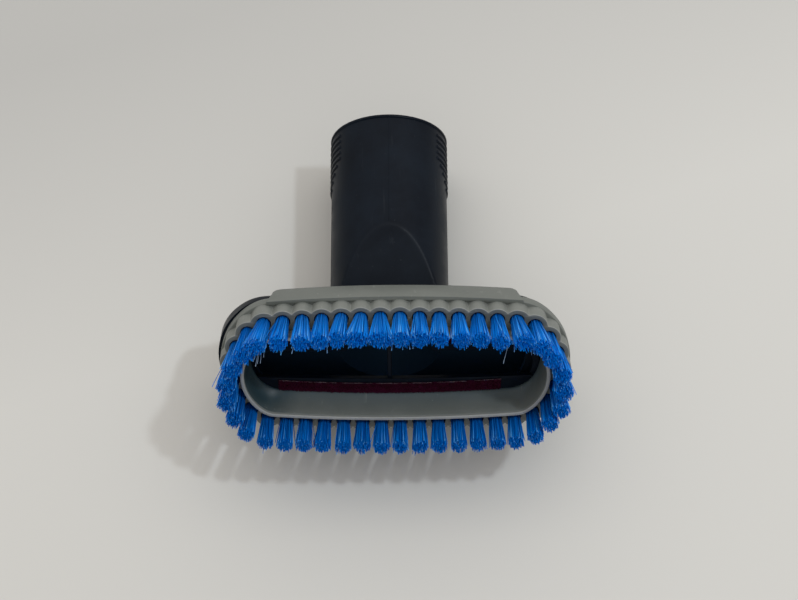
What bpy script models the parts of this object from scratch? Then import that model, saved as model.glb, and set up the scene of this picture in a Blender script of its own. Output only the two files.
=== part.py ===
"""Vacuum brush: a moulded suction nozzle with a push-on brush frame and velvet lint strips.

Units are metres, +Z up. The nozzle lies on its neck and on the heel of its head, as it comes
to rest on a table. The neck runs along +Y and the mouth looks up and forwards, towards -Y.
The origin is the middle of the heel's flat, on the floor.

The head is drawn in its own frame, called the face frame below: x across, y up the face,
z out of the mouth, with z = 0 on the face that the tufts stand in.
"""

import random
from collections import namedtuple
from math import atan2, cos, pi, radians, sin, sqrt, tan

import bmesh
import bpy
from mathutils import Matrix, Vector

COLLECTION_NAME = "vacuum_brush"
CUTTER_COLLECTION_NAME = "cutters"

# The neck: a round socket for a 35 mm wand, wider at its open end.
NECK_END_RADIUS = 0.0190
NECK_ROOT_RADIUS = 0.0190
NECK_BEAD_RADIUS = 0.0194
NECK_BEAD_WIDTH = 0.0010
NECK_BEAD_ROUND = 0.0003
NECK_LENGTH = 0.0706
NECK_ROOT_DEPTH = 0.0060
NECK_SEGMENTS = 40
BORE_END_RADIUS = 0.0174
BORE_ROOT_RADIUS = 0.0170
BORE_ROOT_DEPTH = 0.0080

# The flat on top of the neck, where it flattens into the head.
FLAT_START = 0.0320
FLAT_SLOPE = radians(20.8)
FLAT_WALL = 0.0021

# Grip ridges on both sides of the neck.
RIDGE_COUNT = 9
RIDGE_PITCH = 0.00207
RIDGE_WIDTH = 0.0011
RIDGE_HEIGHT = 0.00045
RIDGE_SINK = 0.0003
RIDGE_END_MARGIN = 0.0020
RIDGE_HALF_SPAN = 0.0106
RIDGE_SHORTEST_HALF_SPAN = 0.0034
RIDGE_FULL_COUNT = 5

# How the face is turned from the neck, and how deep in the head the neck's axis starts.
NECK_TO_FACE_ANGLE = radians(39.15)
NECK_ROOT_DEPTH_IN_FACE = 0.0200

# The closed line that the tufts stand on: an oval of long side, corner and end arcs.
TUFT_LINE_HALF_LENGTH = 0.0503
TUFT_LINE_HALF_HEIGHT = 0.01825
SIDE_ARC_RADIUS = 0.480
END_ARC_RADIUS = 0.0184
CORNER_ARC_RADIUS = 0.0100
OVAL_SEGMENTS = 72

# Tufts and their holes.
TUFT_COUNT = 41
TUFT_ROOT_RADIUS = 0.0019
TUFT_TIP_RADIUS = 0.0027
TUFT_LENGTH = 0.0151
TUFT_TIP_DOME = 0.0006
TUFT_SPLAY = 0.0005
TUFT_LEAN_VARIATION = 0.00015
TUFT_SIDES = 10
HOLE_RADIUS = 0.0023
HOLE_DEPTH = 0.0060
HOLE_SEGMENTS = 10

# The brush frame, in the face frame.
BOSS_RADIUS = 0.00375
BOSS_STEPS = 6
VALLEY_ROUND = 0.00018
FLANGE_OVERHANG = 0.0039
FLANGE_FRONT_DEPTH = 0.0054
FRAME_DEPTH = 0.0090
SKIRT_HEIGHT = 0.0047
SKIRT_OUTER_INSET = 0.00304
SKIRT_WALL = 0.0011
SHELF_FRONT_DEPTH = 0.0030
SHELF_THICKNESS = 0.0007
FRAME_OPENING_HALF_LENGTH = 0.0448
FRAME_OPENING_HALF_HEIGHT = 0.0106
FRAME_OPENING_END_RADIUS = 0.0096
FRAME_OPENING_CORNER_RADIUS = 0.0080
COLLAR_INSET = 0.0036
FRAME_SIDE_SHIFT = 0.0018

# Clip plates at the middle of the frame's long sides, over the nozzle's shell.
CLIP_HALF_LENGTH = 0.0394
CLIP_TAPER = 0.0018
CLIP_CORNER_RADIUS = 0.0026
CLIP_CORNER_STEPS = 4
CLIP_FRONT_DEPTH = 0.0050
CLIP_BACK_DEPTH = 0.0127
CLIP_THICKNESS = 0.0012
CLIP_GAP = 0.0004

# The nozzle's head, in the face frame.
FIT_GAP = 0.0003
SHELL_OVERHANG = 0.00305
SHELL_WALL = 0.0022
SHELL_TOP_BACK_DEPTH = 0.0128
SHELL_BACK_LEAN = radians(21.2)
SHELL_BACK_ROUND = 0.0022
MOUTH_BLOCK_WALL = 0.0020
LIP_THICKNESS = 0.0020
SLOT_HALF_LENGTH = 0.0426
UPPER_LIP_HEIGHT = 0.0045
LOWER_LIP_HEIGHT = 0.0064
LIP_ARC_RADIUS = 1.200
SLOT_END_RADIUS = 0.0070
SLOT_CORNER_RADIUS = 0.0030
NOTCH_HALF_WIDTH = 0.0130
NOTCH_TOP = 0.0108
RIB_THICKNESS = 0.0014
RIB_FRONT_SETBACK = 0.0010
RIB_LENGTH = 0.0080

# Velvet lint strips, each in a shallow channel of a lip.
STRIP_HALF_LENGTH = 0.0346
STRIP_RIM = 0.0007
STRIP_WIDTH = 0.0032
STRIP_THICKNESS = 0.00135
STRIP_PROUD = 0.00065
STRIP_SIDE_GAP = 0.00015
STRIP_STEPS = 16

WELD_DISTANCE = 0.00001
FLAT_ANGLE = radians(0.02)
CUT_MARGIN = 0.0010
BIG = 0.200

BLACK = ("nozzle_black", (0.014, 0.016, 0.020), 0.42)
GREY = ("frame_grey", (0.17, 0.18, 0.17), 0.50)
BLUE = ("bristle_blue", (0.006, 0.12, 0.42), 0.55)
RED = ("velvet_red", (0.035, 0.005, 0.012), 0.90)

Oval = namedtuple("Oval", "half_length half_height side_radius end_radius corner_radius")

TUFT_LINE = Oval(TUFT_LINE_HALF_LENGTH, TUFT_LINE_HALF_HEIGHT, SIDE_ARC_RADIUS, END_ARC_RADIUS,
                 CORNER_ARC_RADIUS)

# The turn from the face frame to the world, about X.
FACE_TURN = pi / 2 - NECK_TO_FACE_ANGLE


def grown(oval, distance):
    """The parallel of an oval, further out by distance."""
    return Oval(*(size + distance for size in oval))


def quarter_arcs(oval):
    """Centre, radius and angles of the end, corner and side arcs, from the right end to the top."""
    side_centre = Vector((0.0, oval.half_height - oval.side_radius))
    end_centre = Vector((oval.half_length - oval.end_radius, 0.0))
    side_reach = oval.side_radius - oval.corner_radius
    end_reach = oval.end_radius - oval.corner_radius
    between = end_centre - side_centre
    span = between.length
    along = (side_reach ** 2 - end_reach ** 2 + span ** 2) / (2 * span)
    across = sqrt(max(side_reach ** 2 - along ** 2, 0.0))
    unit = between / span
    corner_centre = side_centre + unit * along + Vector((unit.y, -unit.x)) * across
    side_angle = atan2(corner_centre.y - side_centre.y, corner_centre.x - side_centre.x)
    end_angle = atan2(corner_centre.y - end_centre.y, corner_centre.x - end_centre.x)
    return [(end_centre, oval.end_radius, 0.0, end_angle),
            (corner_centre, oval.corner_radius, end_angle, side_angle),
            (side_centre, oval.side_radius, side_angle, pi / 2)]


def quarter_length(oval):
    return sum(radius * (stop - start) for _, radius, start, stop in quarter_arcs(oval))


def quarter_point(oval, distance):
    """Point and outward direction at a distance along the quarter from the right end."""
    for centre, radius, start, stop in quarter_arcs(oval):
        length = radius * (stop - start)
        if distance <= length or stop >= pi / 2:
            angle = start + distance / radius
            outward = Vector((cos(angle), sin(angle)))
            return centre + outward * radius, outward
        distance -= length


def oval_point(oval, fraction):
    """Point and outward direction at a fraction of the way round, from the right end over the top."""
    quarter = quarter_length(oval)
    turn, rest = divmod(fraction % 1.0 * 4.0, 1.0)
    flipped = turn in (1, 3)
    point, outward = quarter_point(oval, quarter * (1.0 - rest if flipped else rest))
    across = -1.0 if turn in (1, 2) else 1.0
    up = -1.0 if turn in (2, 3) else 1.0
    return (Vector((point.x * across, point.y * up)), Vector((outward.x * across, outward.y * up)))


def oval_outline(oval, count=OVAL_SEGMENTS):
    return [oval_point(oval, index / count)[0] for index in range(count)]


def side_sag(x):
    """How far the long side arc has dropped at a distance x from the middle."""
    return SIDE_ARC_RADIUS - sqrt(SIDE_ARC_RADIUS ** 2 - x * x)


def scalloped_outline():
    """The frame's outer edge: half-round bosses about the tufts, with rounded valleys between."""
    pitch = 4.0 * quarter_length(TUFT_LINE) / TUFT_COUNT
    outline = []
    for index in range(TUFT_COUNT * BOSS_STEPS):
        step = index % BOSS_STEPS
        away = abs((step + BOSS_STEPS / 2) % BOSS_STEPS - BOSS_STEPS / 2) / BOSS_STEPS * pitch
        reach = sqrt(BOSS_RADIUS ** 2 - away ** 2)
        if step == BOSS_STEPS // 2:
            reach += VALLEY_ROUND
        point, outward = oval_point(TUFT_LINE, index / (TUFT_COUNT * BOSS_STEPS))
        outline.append(point + outward * reach)
    return outline


def new_object(name, mesh, collection):
    made = bpy.data.objects.new(name, mesh)
    collection.objects.link(made)
    return made


def plate(name, outline, low, high, collection):
    """A flat outline given thickness, from z = low to z = high, as a welded mesh."""
    curve = bpy.data.curves.new(name, "CURVE")
    curve.dimensions = "2D"
    curve.fill_mode = "BOTH"
    curve.extrude = (high - low) / 2
    spline = curve.splines.new("POLY")
    spline.points.add(len(outline) - 1)
    for control, point in zip(spline.points, outline):
        control.co = (point[0], point[1], 0.0, 1.0)
    spline.use_cyclic_u = True
    drawn = new_object(name + "_outline", curve, collection)
    bpy.context.view_layer.update()
    mesh = bpy.data.meshes.new_from_object(drawn.evaluated_get(bpy.context.evaluated_depsgraph_get()))
    bpy.data.objects.remove(drawn)
    mesh.name = name
    mesh.transform(Matrix.Translation((0.0, 0.0, (low + high) / 2)))
    tidy(mesh)
    return new_object(name, mesh, collection)


def tidy(mesh):
    """Weld what lies on the same spot, merge what lies in one plane and turn every face outwards."""
    work = bmesh.new()
    work.from_mesh(mesh)
    bmesh.ops.remove_doubles(work, verts=work.verts, dist=WELD_DISTANCE)
    bmesh.ops.recalc_face_normals(work, faces=work.faces)
    bmesh.ops.dissolve_limit(work, angle_limit=FLAT_ANGLE, verts=work.verts, edges=work.edges)
    work.to_mesh(mesh)
    work.free()


def box(name, low, high, collection):
    """A box between two corners."""
    work = bmesh.new()
    bmesh.ops.create_cube(work, size=1.0)
    size = [b - a for a, b in zip(low, high)]
    middle = [(a + b) / 2 for a, b in zip(low, high)]
    bmesh.ops.scale(work, vec=size, verts=work.verts)
    bmesh.ops.translate(work, vec=middle, verts=work.verts)
    mesh = bpy.data.meshes.new(name)
    work.to_mesh(mesh)
    work.free()
    return new_object(name, mesh, collection)


def loft(name, rings, collection):
    """A solid through rings of points, capped at both ends."""
    work = bmesh.new()
    rows = [[work.verts.new(point) for point in ring] for ring in rings]
    for lower, upper in zip(rows, rows[1:]):
        for index in range(len(lower)):
            following = (index + 1) % len(lower)
            work.faces.new((lower[index], lower[following], upper[following], upper[index]))
    work.faces.new(rows[0])
    work.faces.new(rows[-1])
    bmesh.ops.recalc_face_normals(work, faces=work.faces)
    mesh = bpy.data.meshes.new(name)
    work.to_mesh(mesh)
    work.free()
    return new_object(name, mesh, collection)


def turned(name, profile, segments, collection):
    """A solid turned about Z from (radius, height) points, by a Screw modifier."""
    mesh = bpy.data.meshes.new(name)
    mesh.from_pydata([(radius, 0.0, height) for radius, height in profile],
                     [(index, index + 1) for index in range(len(profile) - 1)], [])
    made = new_object(name, mesh, collection)
    screw = made.modifiers.new("turn", "SCREW")
    screw.steps = segments
    screw.render_steps = segments
    screw.use_merge_vertices = True
    screw.merge_threshold = WELD_DISTANCE
    apply_modifiers(made)
    return made


def apply_modifiers(made):
    """Keep the evaluated mesh and drop the modifiers, so that the next cut starts clean."""
    bpy.context.view_layer.update()
    mesh = bpy.data.meshes.new_from_object(made.evaluated_get(bpy.context.evaluated_depsgraph_get()))
    made.modifiers.clear()
    made.data = mesh
    tidy(mesh)


def combine(base, other, operation):
    """Cut or join two solids exactly, keep the result in the first and remove the second."""
    cut = base.modifiers.new(operation.lower(), "BOOLEAN")
    cut.operation = operation
    cut.solver = "EXACT"
    cut.object = other
    apply_modifiers(base)
    bpy.data.objects.remove(other)


def material(spec):
    name, colour, roughness = spec
    made = bpy.data.materials.get(name) or bpy.data.materials.new(name)
    made.use_nodes = True
    shader = made.node_tree.nodes["Principled BSDF"]
    shader.inputs["Base Color"].default_value = (*colour, 1.0)
    shader.inputs["Roughness"].default_value = roughness
    shader.inputs["Metallic"].default_value = 0.0
    return made


def finish(made, spec, collection, parent):
    """Give a part its material, smooth shading and parent, and file it with the parts."""
    made.data.materials.clear()
    made.data.materials.append(material(spec))
    made.data.shade_smooth()
    made.data.set_sharp_from_angle(angle=radians(30))
    if collection not in made.users_collection:
        collection.objects.link(made)
    for other in list(made.users_collection):
        if other != collection:
            other.objects.unlink(made)
    made.parent = parent


def heel_distance():
    """How far in front of the neck's root the middle of the heel's flat lies, along the floor."""
    half_height = TUFT_LINE_HALF_HEIGHT + SHELL_OVERHANG
    front_depth = (NECK_BEAD_RADIUS - half_height * sin(FACE_TURN)) / cos(FACE_TURN)
    front = half_height * cos(FACE_TURN) - front_depth * sin(FACE_TURN)
    lean = tan(SHELL_BACK_LEAN)
    top_back = SHELL_TOP_BACK_DEPTH - NECK_ROOT_DEPTH_IN_FACE
    # The back wall meets the floor where both of these hold: depth = top_back + lean * drop from
    # the shell's top, and NECK_BEAD_RADIUS = drop below the axis on the turned face.
    rise = (NECK_BEAD_RADIUS - cos(FACE_TURN) * (top_back + lean * half_height))
    low = rise / (sin(FACE_TURN) + cos(FACE_TURN) * lean)
    back_depth = top_back + lean * (half_height + low)
    back = low * cos(FACE_TURN) - back_depth * sin(FACE_TURN)
    return (front + back) / 2


def back_cutter(name, inset, collection):
    """A block that takes away all behind the head's leaning back wall, moved forward by inset."""
    block = box(name, (-BIG, -BIG, -BIG), (BIG, BIG, 0.0), collection)
    hinge = Vector((0.0, TUFT_LINE_HALF_HEIGHT + SHELL_OVERHANG, -SHELL_TOP_BACK_DEPTH))
    turn = Matrix.Rotation(SHELL_BACK_LEAN, 4, "X")
    block.data.transform(Matrix.Translation(hinge) @ turn @ Matrix.Translation((0.0, 0.0, inset)))
    return block


def round_back_edge(made):
    """Round the edge all round the head's back wall."""
    backward = Matrix.Rotation(SHELL_BACK_LEAN, 3, "X") @ Vector((0.0, 0.0, -1.0))
    work = bmesh.new()
    work.from_mesh(made.data)
    back_faces = {face for face in work.faces if face.normal.dot(backward) > 0.999}
    rim = [edge for edge in work.edges if len(back_faces.intersection(edge.link_faces)) == 1]
    bmesh.ops.bevel(work, geom=rim, offset=SHELL_BACK_ROUND, segments=3, profile=0.5, affect="EDGES")
    work.to_mesh(made.data)
    work.free()
    tidy(made.data)


def mouth_block_oval():
    """The block round the mouth slides in the frame's collar by the frame's side shift."""
    inside = grown(TUFT_LINE, -COLLAR_INSET - FIT_GAP)
    return inside._replace(half_length=inside.half_length - FRAME_SIDE_SHIFT)


def lip_depth():
    return SHELF_FRONT_DEPTH + SHELF_THICKNESS + FIT_GAP


def slot_outline():
    """The slot between the lips, with a notch in the middle of the upper lip."""
    upper = Oval(SLOT_HALF_LENGTH, UPPER_LIP_HEIGHT, LIP_ARC_RADIUS, SLOT_END_RADIUS,
                 SLOT_CORNER_RADIUS)
    lower = upper._replace(half_height=LOWER_LIP_HEIGHT)
    half = OVAL_SEGMENTS // 2
    above = oval_outline(upper)[:half]
    below = oval_outline(lower)[half:]
    right = [point for point in above if point.x > NOTCH_HALF_WIDTH]
    left = [point for point in above if point.x < -NOTCH_HALF_WIDTH]
    notch = [Vector((NOTCH_HALF_WIDTH, UPPER_LIP_HEIGHT)), Vector((NOTCH_HALF_WIDTH, NOTCH_TOP)),
             Vector((-NOTCH_HALF_WIDTH, NOTCH_TOP)), Vector((-NOTCH_HALF_WIDTH, UPPER_LIP_HEIGHT))]
    return right + notch + left + below


def strip_outline(start_x, stop_x, upper, margin):
    """A bowed strip beside the slot, from start_x to stop_x, grown by margin on every side."""
    lip = UPPER_LIP_HEIGHT if upper else LOWER_LIP_HEIGHT
    inner = lip + STRIP_RIM - margin
    outer = lip + STRIP_RIM + STRIP_WIDTH + margin
    low_x = start_x - margin
    high_x = stop_x + margin
    across = [low_x + (high_x - low_x) * step / STRIP_STEPS for step in range(STRIP_STEPS + 1)]
    edge = [Vector((x, inner - side_sag(x))) for x in across]
    edge += [Vector((x, outer - side_sag(x))) for x in reversed(across)]
    sign = 1.0 if upper else -1.0
    return [Vector((point.x, point.y * sign)) for point in edge]


# Name, start, stop and whether it is on the upper lip, for each lint strip.
UPPER_STRIP_START = NOTCH_HALF_WIDTH + STRIP_RIM
STRIPS = [("lint_strip_lower", -STRIP_HALF_LENGTH, STRIP_HALF_LENGTH, False),
          ("lint_strip_upper_left", -STRIP_HALF_LENGTH, -UPPER_STRIP_START, True),
          ("lint_strip_upper_right", UPPER_STRIP_START, STRIP_HALF_LENGTH, True)]


def make_neck(collection):
    """The neck's outside: a turned tube with a bead, and the flat on top cut away."""
    bead_start = NECK_LENGTH - NECK_BEAD_WIDTH
    profile = [(0.0, NECK_LENGTH),
               (NECK_BEAD_RADIUS - NECK_BEAD_ROUND, NECK_LENGTH),
               (NECK_BEAD_RADIUS, NECK_LENGTH - NECK_BEAD_ROUND),
               (NECK_BEAD_RADIUS, bead_start + NECK_BEAD_ROUND),
               (NECK_END_RADIUS, bead_start),
               (NECK_ROOT_RADIUS, -NECK_ROOT_DEPTH),
               (0.0, -NECK_ROOT_DEPTH)]
    neck = turned("nozzle_body", profile, NECK_SEGMENTS, collection)
    combine(neck, flat_cutter(0.0, collection), "DIFFERENCE")
    return neck


def flat_cutter(inset, collection):
    """The block above the neck's flat, which rises away from the head; inset moves it inwards."""
    block = box("flat_cutter", (-BIG, 0.0, -BIG), (BIG, BIG, BIG), collection)
    start = Vector((0.0, NECK_END_RADIUS, FLAT_START))
    turn = Matrix.Rotation(-FLAT_SLOPE, 4, "X")
    block.data.transform(Matrix.Translation(start) @ turn @ Matrix.Translation((0.0, -inset, 0.0)))
    return block


def ridge_half_span(index):
    """The ridges nearest the open end are long; the last ones shorten towards the head."""
    short = max(index - RIDGE_FULL_COUNT + 1, 0) / (RIDGE_COUNT - RIDGE_FULL_COUNT)
    return RIDGE_HALF_SPAN + (RIDGE_SHORTEST_HALF_SPAN - RIDGE_HALF_SPAN) * short


def add_ridges(neck, collection):
    """Turned rings on the neck, each kept only along its left and right sides."""
    half_base = RIDGE_WIDTH / 2 * (1.0 + RIDGE_SINK / RIDGE_HEIGHT)
    for index in range(RIDGE_COUNT):
        middle = NECK_LENGTH - NECK_BEAD_WIDTH - RIDGE_END_MARGIN - index * RIDGE_PITCH
        profile = [(NECK_END_RADIUS - RIDGE_SINK, middle + half_base),
                   (NECK_END_RADIUS + RIDGE_HEIGHT, middle),
                   (NECK_END_RADIUS - RIDGE_SINK, middle - half_base),
                   (NECK_END_RADIUS - RIDGE_SINK, middle + half_base)]
        ridge = turned("ridge", profile, NECK_SEGMENTS, collection)
        half = ridge_half_span(index)
        sides = box("ridge_sides", (-BIG, -half, -BIG), (BIG, half, BIG), collection)
        combine(ridge, sides, "INTERSECT")
        combine(neck, ridge, "UNION")


def neck_to_face():
    """From the neck's own frame (axis +Z, flat towards +Y) to the face frame."""
    root = Matrix.Translation((0.0, 0.0, -NECK_ROOT_DEPTH_IN_FACE))
    return root @ Matrix.Rotation(NECK_TO_FACE_ANGLE - pi, 4, "X") @ Matrix.Rotation(pi, 4, "Z")


def to_face_frame(made):
    made.data.transform(neck_to_face())
    tidy(made.data)


def make_bore(collection):
    """The space inside the neck, flat on top where the wall is, in the face frame."""
    profile = [(0.0, NECK_LENGTH + CUT_MARGIN), (BORE_END_RADIUS, NECK_LENGTH + CUT_MARGIN),
               (BORE_ROOT_RADIUS, -BORE_ROOT_DEPTH), (0.0, -BORE_ROOT_DEPTH)]
    bore = turned("bore", profile, NECK_SEGMENTS, collection)
    combine(bore, flat_cutter(FLAT_WALL, collection), "DIFFERENCE")
    to_face_frame(bore)
    return bore


def make_chamber(collection):
    """The hollow of the head: narrow in the mouth block and wide behind it."""
    block_hollow = grown(mouth_block_oval(), -MOUTH_BLOCK_WALL)
    front = lip_depth() + LIP_THICKNESS
    step = FRAME_DEPTH + FIT_GAP + SHELL_WALL
    chamber = plate("chamber", oval_outline(block_hollow), -step - CUT_MARGIN, -front, collection)
    wide = plate("wide_chamber", oval_outline(grown(TUFT_LINE, SHELL_OVERHANG - SHELL_WALL)),
                 -BIG / 2, -step, collection)
    combine(wide, back_cutter("inner_back", SHELL_WALL, collection), "DIFFERENCE")
    combine(chamber, wide, "UNION")
    return chamber


def make_nozzle(parts, cutters, parent):
    """The black moulding: head shell, mouth block, neck, bore, slot, rib, channels and ridges."""
    shell_front = FRAME_DEPTH + FIT_GAP
    shell = plate("shell", oval_outline(grown(TUFT_LINE, SHELL_OVERHANG)),
                  -BIG / 2, -shell_front, cutters)
    combine(shell, back_cutter("outer_back", 0.0, cutters), "DIFFERENCE")
    round_back_edge(shell)
    nozzle = make_neck(cutters)
    add_ridges(nozzle, cutters)
    to_face_frame(nozzle)
    combine(nozzle, shell, "UNION")
    block = plate("mouth_block", oval_outline(mouth_block_oval()),
                  -shell_front - CUT_MARGIN, -lip_depth(), cutters)
    combine(nozzle, block, "UNION")
    hollow = make_chamber(cutters)
    combine(hollow, make_bore(cutters), "UNION")
    combine(nozzle, hollow, "DIFFERENCE")
    slot = plate("slot", slot_outline(), -lip_depth() - LIP_THICKNESS - CUT_MARGIN,
                 -lip_depth() + CUT_MARGIN, cutters)
    combine(nozzle, slot, "DIFFERENCE")
    rib_front = lip_depth() + RIB_FRONT_SETBACK
    rib_reach = mouth_block_oval().half_height - MOUTH_BLOCK_WALL / 2
    rib = box("rib", (-RIB_THICKNESS / 2, -rib_reach, -rib_front - RIB_LENGTH),
              (RIB_THICKNESS / 2, rib_reach, -rib_front), cutters)
    combine(nozzle, rib, "UNION")
    floor = STRIP_THICKNESS - STRIP_PROUD + FIT_GAP
    for name, start, stop, upper in STRIPS:
        channel = plate("channel", strip_outline(start, stop, upper, STRIP_SIDE_GAP),
                        -lip_depth() - floor, -lip_depth() + CUT_MARGIN, cutters)
        combine(nozzle, channel, "DIFFERENCE")
    ground = box("ground", (-BIG, -BIG, -BIG), (BIG, heel_distance(), 0.0), cutters)
    ground.data.transform(face_to_world().inverted())
    combine(nozzle, ground, "DIFFERENCE")
    finish(nozzle, BLACK, parts, parent)


def clip_plate(sign, collection):
    """A clip over the shell's long side: part of an oval wall, trimmed to rounded back corners."""
    inner = SHELL_OVERHANG + CLIP_GAP
    outer = inner + CLIP_THICKNESS
    front = -CLIP_FRONT_DEPTH
    back = -CLIP_BACK_DEPTH
    wall = plate("clip_wall", oval_outline(grown(TUFT_LINE, outer)), back, front, collection)
    hollow = plate("clip_hollow", oval_outline(grown(TUFT_LINE, inner)), back - CUT_MARGIN,
                   -FRAME_DEPTH + CUT_MARGIN / 2, collection)
    combine(wall, hollow, "DIFFERENCE")
    trim = plate("clip_trim", clip_outline(front, back), 0.0, BIG / 4, collection)
    # The trim is drawn in x and z, and stands up along y.
    trim.data.transform(Matrix.Rotation(pi / 2, 4, "X"))
    if sign > 0:
        trim.data.transform(Matrix.Scale(-1.0, 4, (0, 1, 0)))
    tidy(trim.data)
    combine(wall, trim, "INTERSECT")
    return wall


def clip_outline(front, back):
    """The clip seen from above, x and z: wide at the front, with rounded back corners."""
    high = front + CUT_MARGIN
    radius = CLIP_CORNER_RADIUS
    narrow = CLIP_HALF_LENGTH - CLIP_TAPER
    right = [Vector((CLIP_HALF_LENGTH, high))]
    for step in range(CLIP_CORNER_STEPS + 1):
        angle = pi / 2 * step / CLIP_CORNER_STEPS
        right.append(Vector((narrow - radius + radius * cos(angle), back + radius - radius * sin(angle))))
    return right + [Vector((-point.x, point.y)) for point in reversed(right)]


def make_holes(collection):
    """All the tuft holes as one cutter."""
    work = bmesh.new()
    for index in range(TUFT_COUNT):
        point, _ = oval_point(TUFT_LINE, index / TUFT_COUNT)
        depth = HOLE_DEPTH + CUT_MARGIN
        place = Matrix.Translation((point.x, point.y, -HOLE_DEPTH + depth / 2))
        bmesh.ops.create_cone(work, cap_ends=True, segments=HOLE_SEGMENTS, radius1=HOLE_RADIUS,
                              radius2=HOLE_RADIUS, depth=depth, matrix=place)
    mesh = bpy.data.meshes.new("holes")
    work.to_mesh(mesh)
    work.free()
    return new_object("holes", mesh, collection)


def make_frame(parts, cutters, parent):
    """The grey moulding: scalloped ring, flange, skirt, shelf, collar, clips and tuft holes."""
    frame = plate("brush_frame", scalloped_outline(), -FLANGE_FRONT_DEPTH - CUT_MARGIN, 0.0, parts)
    flange = plate("flange", oval_outline(grown(TUFT_LINE, FLANGE_OVERHANG)), -FRAME_DEPTH,
                   -FLANGE_FRONT_DEPTH, cutters)
    combine(frame, flange, "UNION")
    skirt = plate("skirt", oval_outline(grown(TUFT_LINE, -SKIRT_OUTER_INSET)), -CUT_MARGIN,
                  SKIRT_HEIGHT, cutters)
    combine(frame, skirt, "UNION")
    for sign in (1, -1):
        combine(frame, clip_plate(sign, cutters), "UNION")
    well = plate("well", oval_outline(grown(TUFT_LINE, -SKIRT_OUTER_INSET - SKIRT_WALL)),
                 -SHELF_FRONT_DEPTH, SKIRT_HEIGHT + CUT_MARGIN, cutters)
    combine(frame, well, "DIFFERENCE")
    opening_oval = Oval(FRAME_OPENING_HALF_LENGTH, FRAME_OPENING_HALF_HEIGHT, SIDE_ARC_RADIUS,
                        FRAME_OPENING_END_RADIUS, FRAME_OPENING_CORNER_RADIUS)
    opening = plate("opening", oval_outline(opening_oval),
                    -SHELF_FRONT_DEPTH - SHELF_THICKNESS - CUT_MARGIN,
                    -SHELF_FRONT_DEPTH + CUT_MARGIN, cutters)
    combine(frame, opening, "DIFFERENCE")
    collar = plate("collar", oval_outline(grown(TUFT_LINE, -COLLAR_INSET)),
                   -FRAME_DEPTH - CUT_MARGIN, -SHELF_FRONT_DEPTH - SHELF_THICKNESS, cutters)
    combine(frame, collar, "DIFFERENCE")
    combine(frame, make_holes(cutters), "DIFFERENCE")
    frame.location.x = FRAME_SIDE_SHIFT
    finish(frame, GREY, parts, parent)


def tuft_ring(centre, height, radius):
    angles = [2 * pi * side / TUFT_SIDES for side in range(TUFT_SIDES)]
    return [(centre.x + radius * cos(angle), centre.y + radius * sin(angle), height) for angle in angles]


def make_tufts(parts, parent):
    """One flared bundle in each hole, splayed outwards, each leaning a little its own way."""
    chance = random.Random(7)
    for index in range(TUFT_COUNT):
        point, outward = oval_point(TUFT_LINE, index / TUFT_COUNT)
        lean = Vector((chance.uniform(-1, 1), chance.uniform(-1, 1))) * TUFT_LEAN_VARIATION
        tip = outward * TUFT_SPLAY + lean
        root = Vector((0.0, 0.0))
        waist = (TUFT_ROOT_RADIUS + TUFT_TIP_RADIUS) / 2
        rings = [tuft_ring(root, FIT_GAP - HOLE_DEPTH, TUFT_ROOT_RADIUS),
                 tuft_ring(root, 0.0, TUFT_ROOT_RADIUS),
                 tuft_ring(tip * 0.5, TUFT_LENGTH * 0.5, waist),
                 tuft_ring(tip, TUFT_LENGTH - TUFT_TIP_DOME, TUFT_TIP_RADIUS),
                 tuft_ring(tip, TUFT_LENGTH, TUFT_TIP_RADIUS * 0.6)]
        tuft = loft("tuft_%02d" % (index + 1), rings, parts)
        tuft.location = (point.x + FRAME_SIDE_SHIFT, point.y, 0.0)
        finish(tuft, BLUE, parts, parent)


def make_strips(parts, parent):
    """The velvet lint strips, each lying in its channel and standing a little proud of the lip."""
    for name, start, stop, upper in STRIPS:
        low = -lip_depth() - STRIP_THICKNESS + STRIP_PROUD
        strip = plate(name, strip_outline(start, stop, upper, 0.0), low, low + STRIP_THICKNESS, parts)
        finish(strip, RED, parts, parent)


def face_to_world():
    """From the face frame to the world: turned about X, the neck's axis level at the bead's radius."""
    root_on_axis = Vector((0.0, 0.0, -NECK_ROOT_DEPTH_IN_FACE))
    turn = Matrix.Rotation(FACE_TURN, 4, "X")
    world_root = Vector((0.0, heel_distance(), NECK_BEAD_RADIUS))
    return Matrix.Translation(world_root - turn @ root_on_axis) @ turn


def main():
    for old in list(bpy.data.objects):
        bpy.data.objects.remove(old)
    parts = bpy.data.collections.new(COLLECTION_NAME)
    cutters = bpy.data.collections.new(CUTTER_COLLECTION_NAME)
    bpy.context.scene.collection.children.link(parts)
    bpy.context.scene.collection.children.link(cutters)
    head = bpy.data.objects.new("face_frame", None)
    parts.objects.link(head)
    head.matrix_world = face_to_world()
    make_nozzle(parts, cutters, head)
    make_frame(parts, cutters, head)
    make_tufts(parts, head)
    make_strips(parts, head)
    bpy.context.view_layer.update()


main()
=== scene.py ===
# %% [markdown]
# # A vacuum brush, dressed for its picture
# The CAD model gives every size of this nozzle and its push-on brush. Here the same pieces are
# made again with rounded edges, real bristles and velvet, and each gets a finish of its own.
# A library part has to fit where its CAD solid was, so the measured model is loaded first.

# %% Load the measured model
import math
import random
from collections import namedtuple

import bpy
import numpy as np
from mathutils import Matrix, Vector
from mathutils.bvhtree import BVHTree


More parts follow.
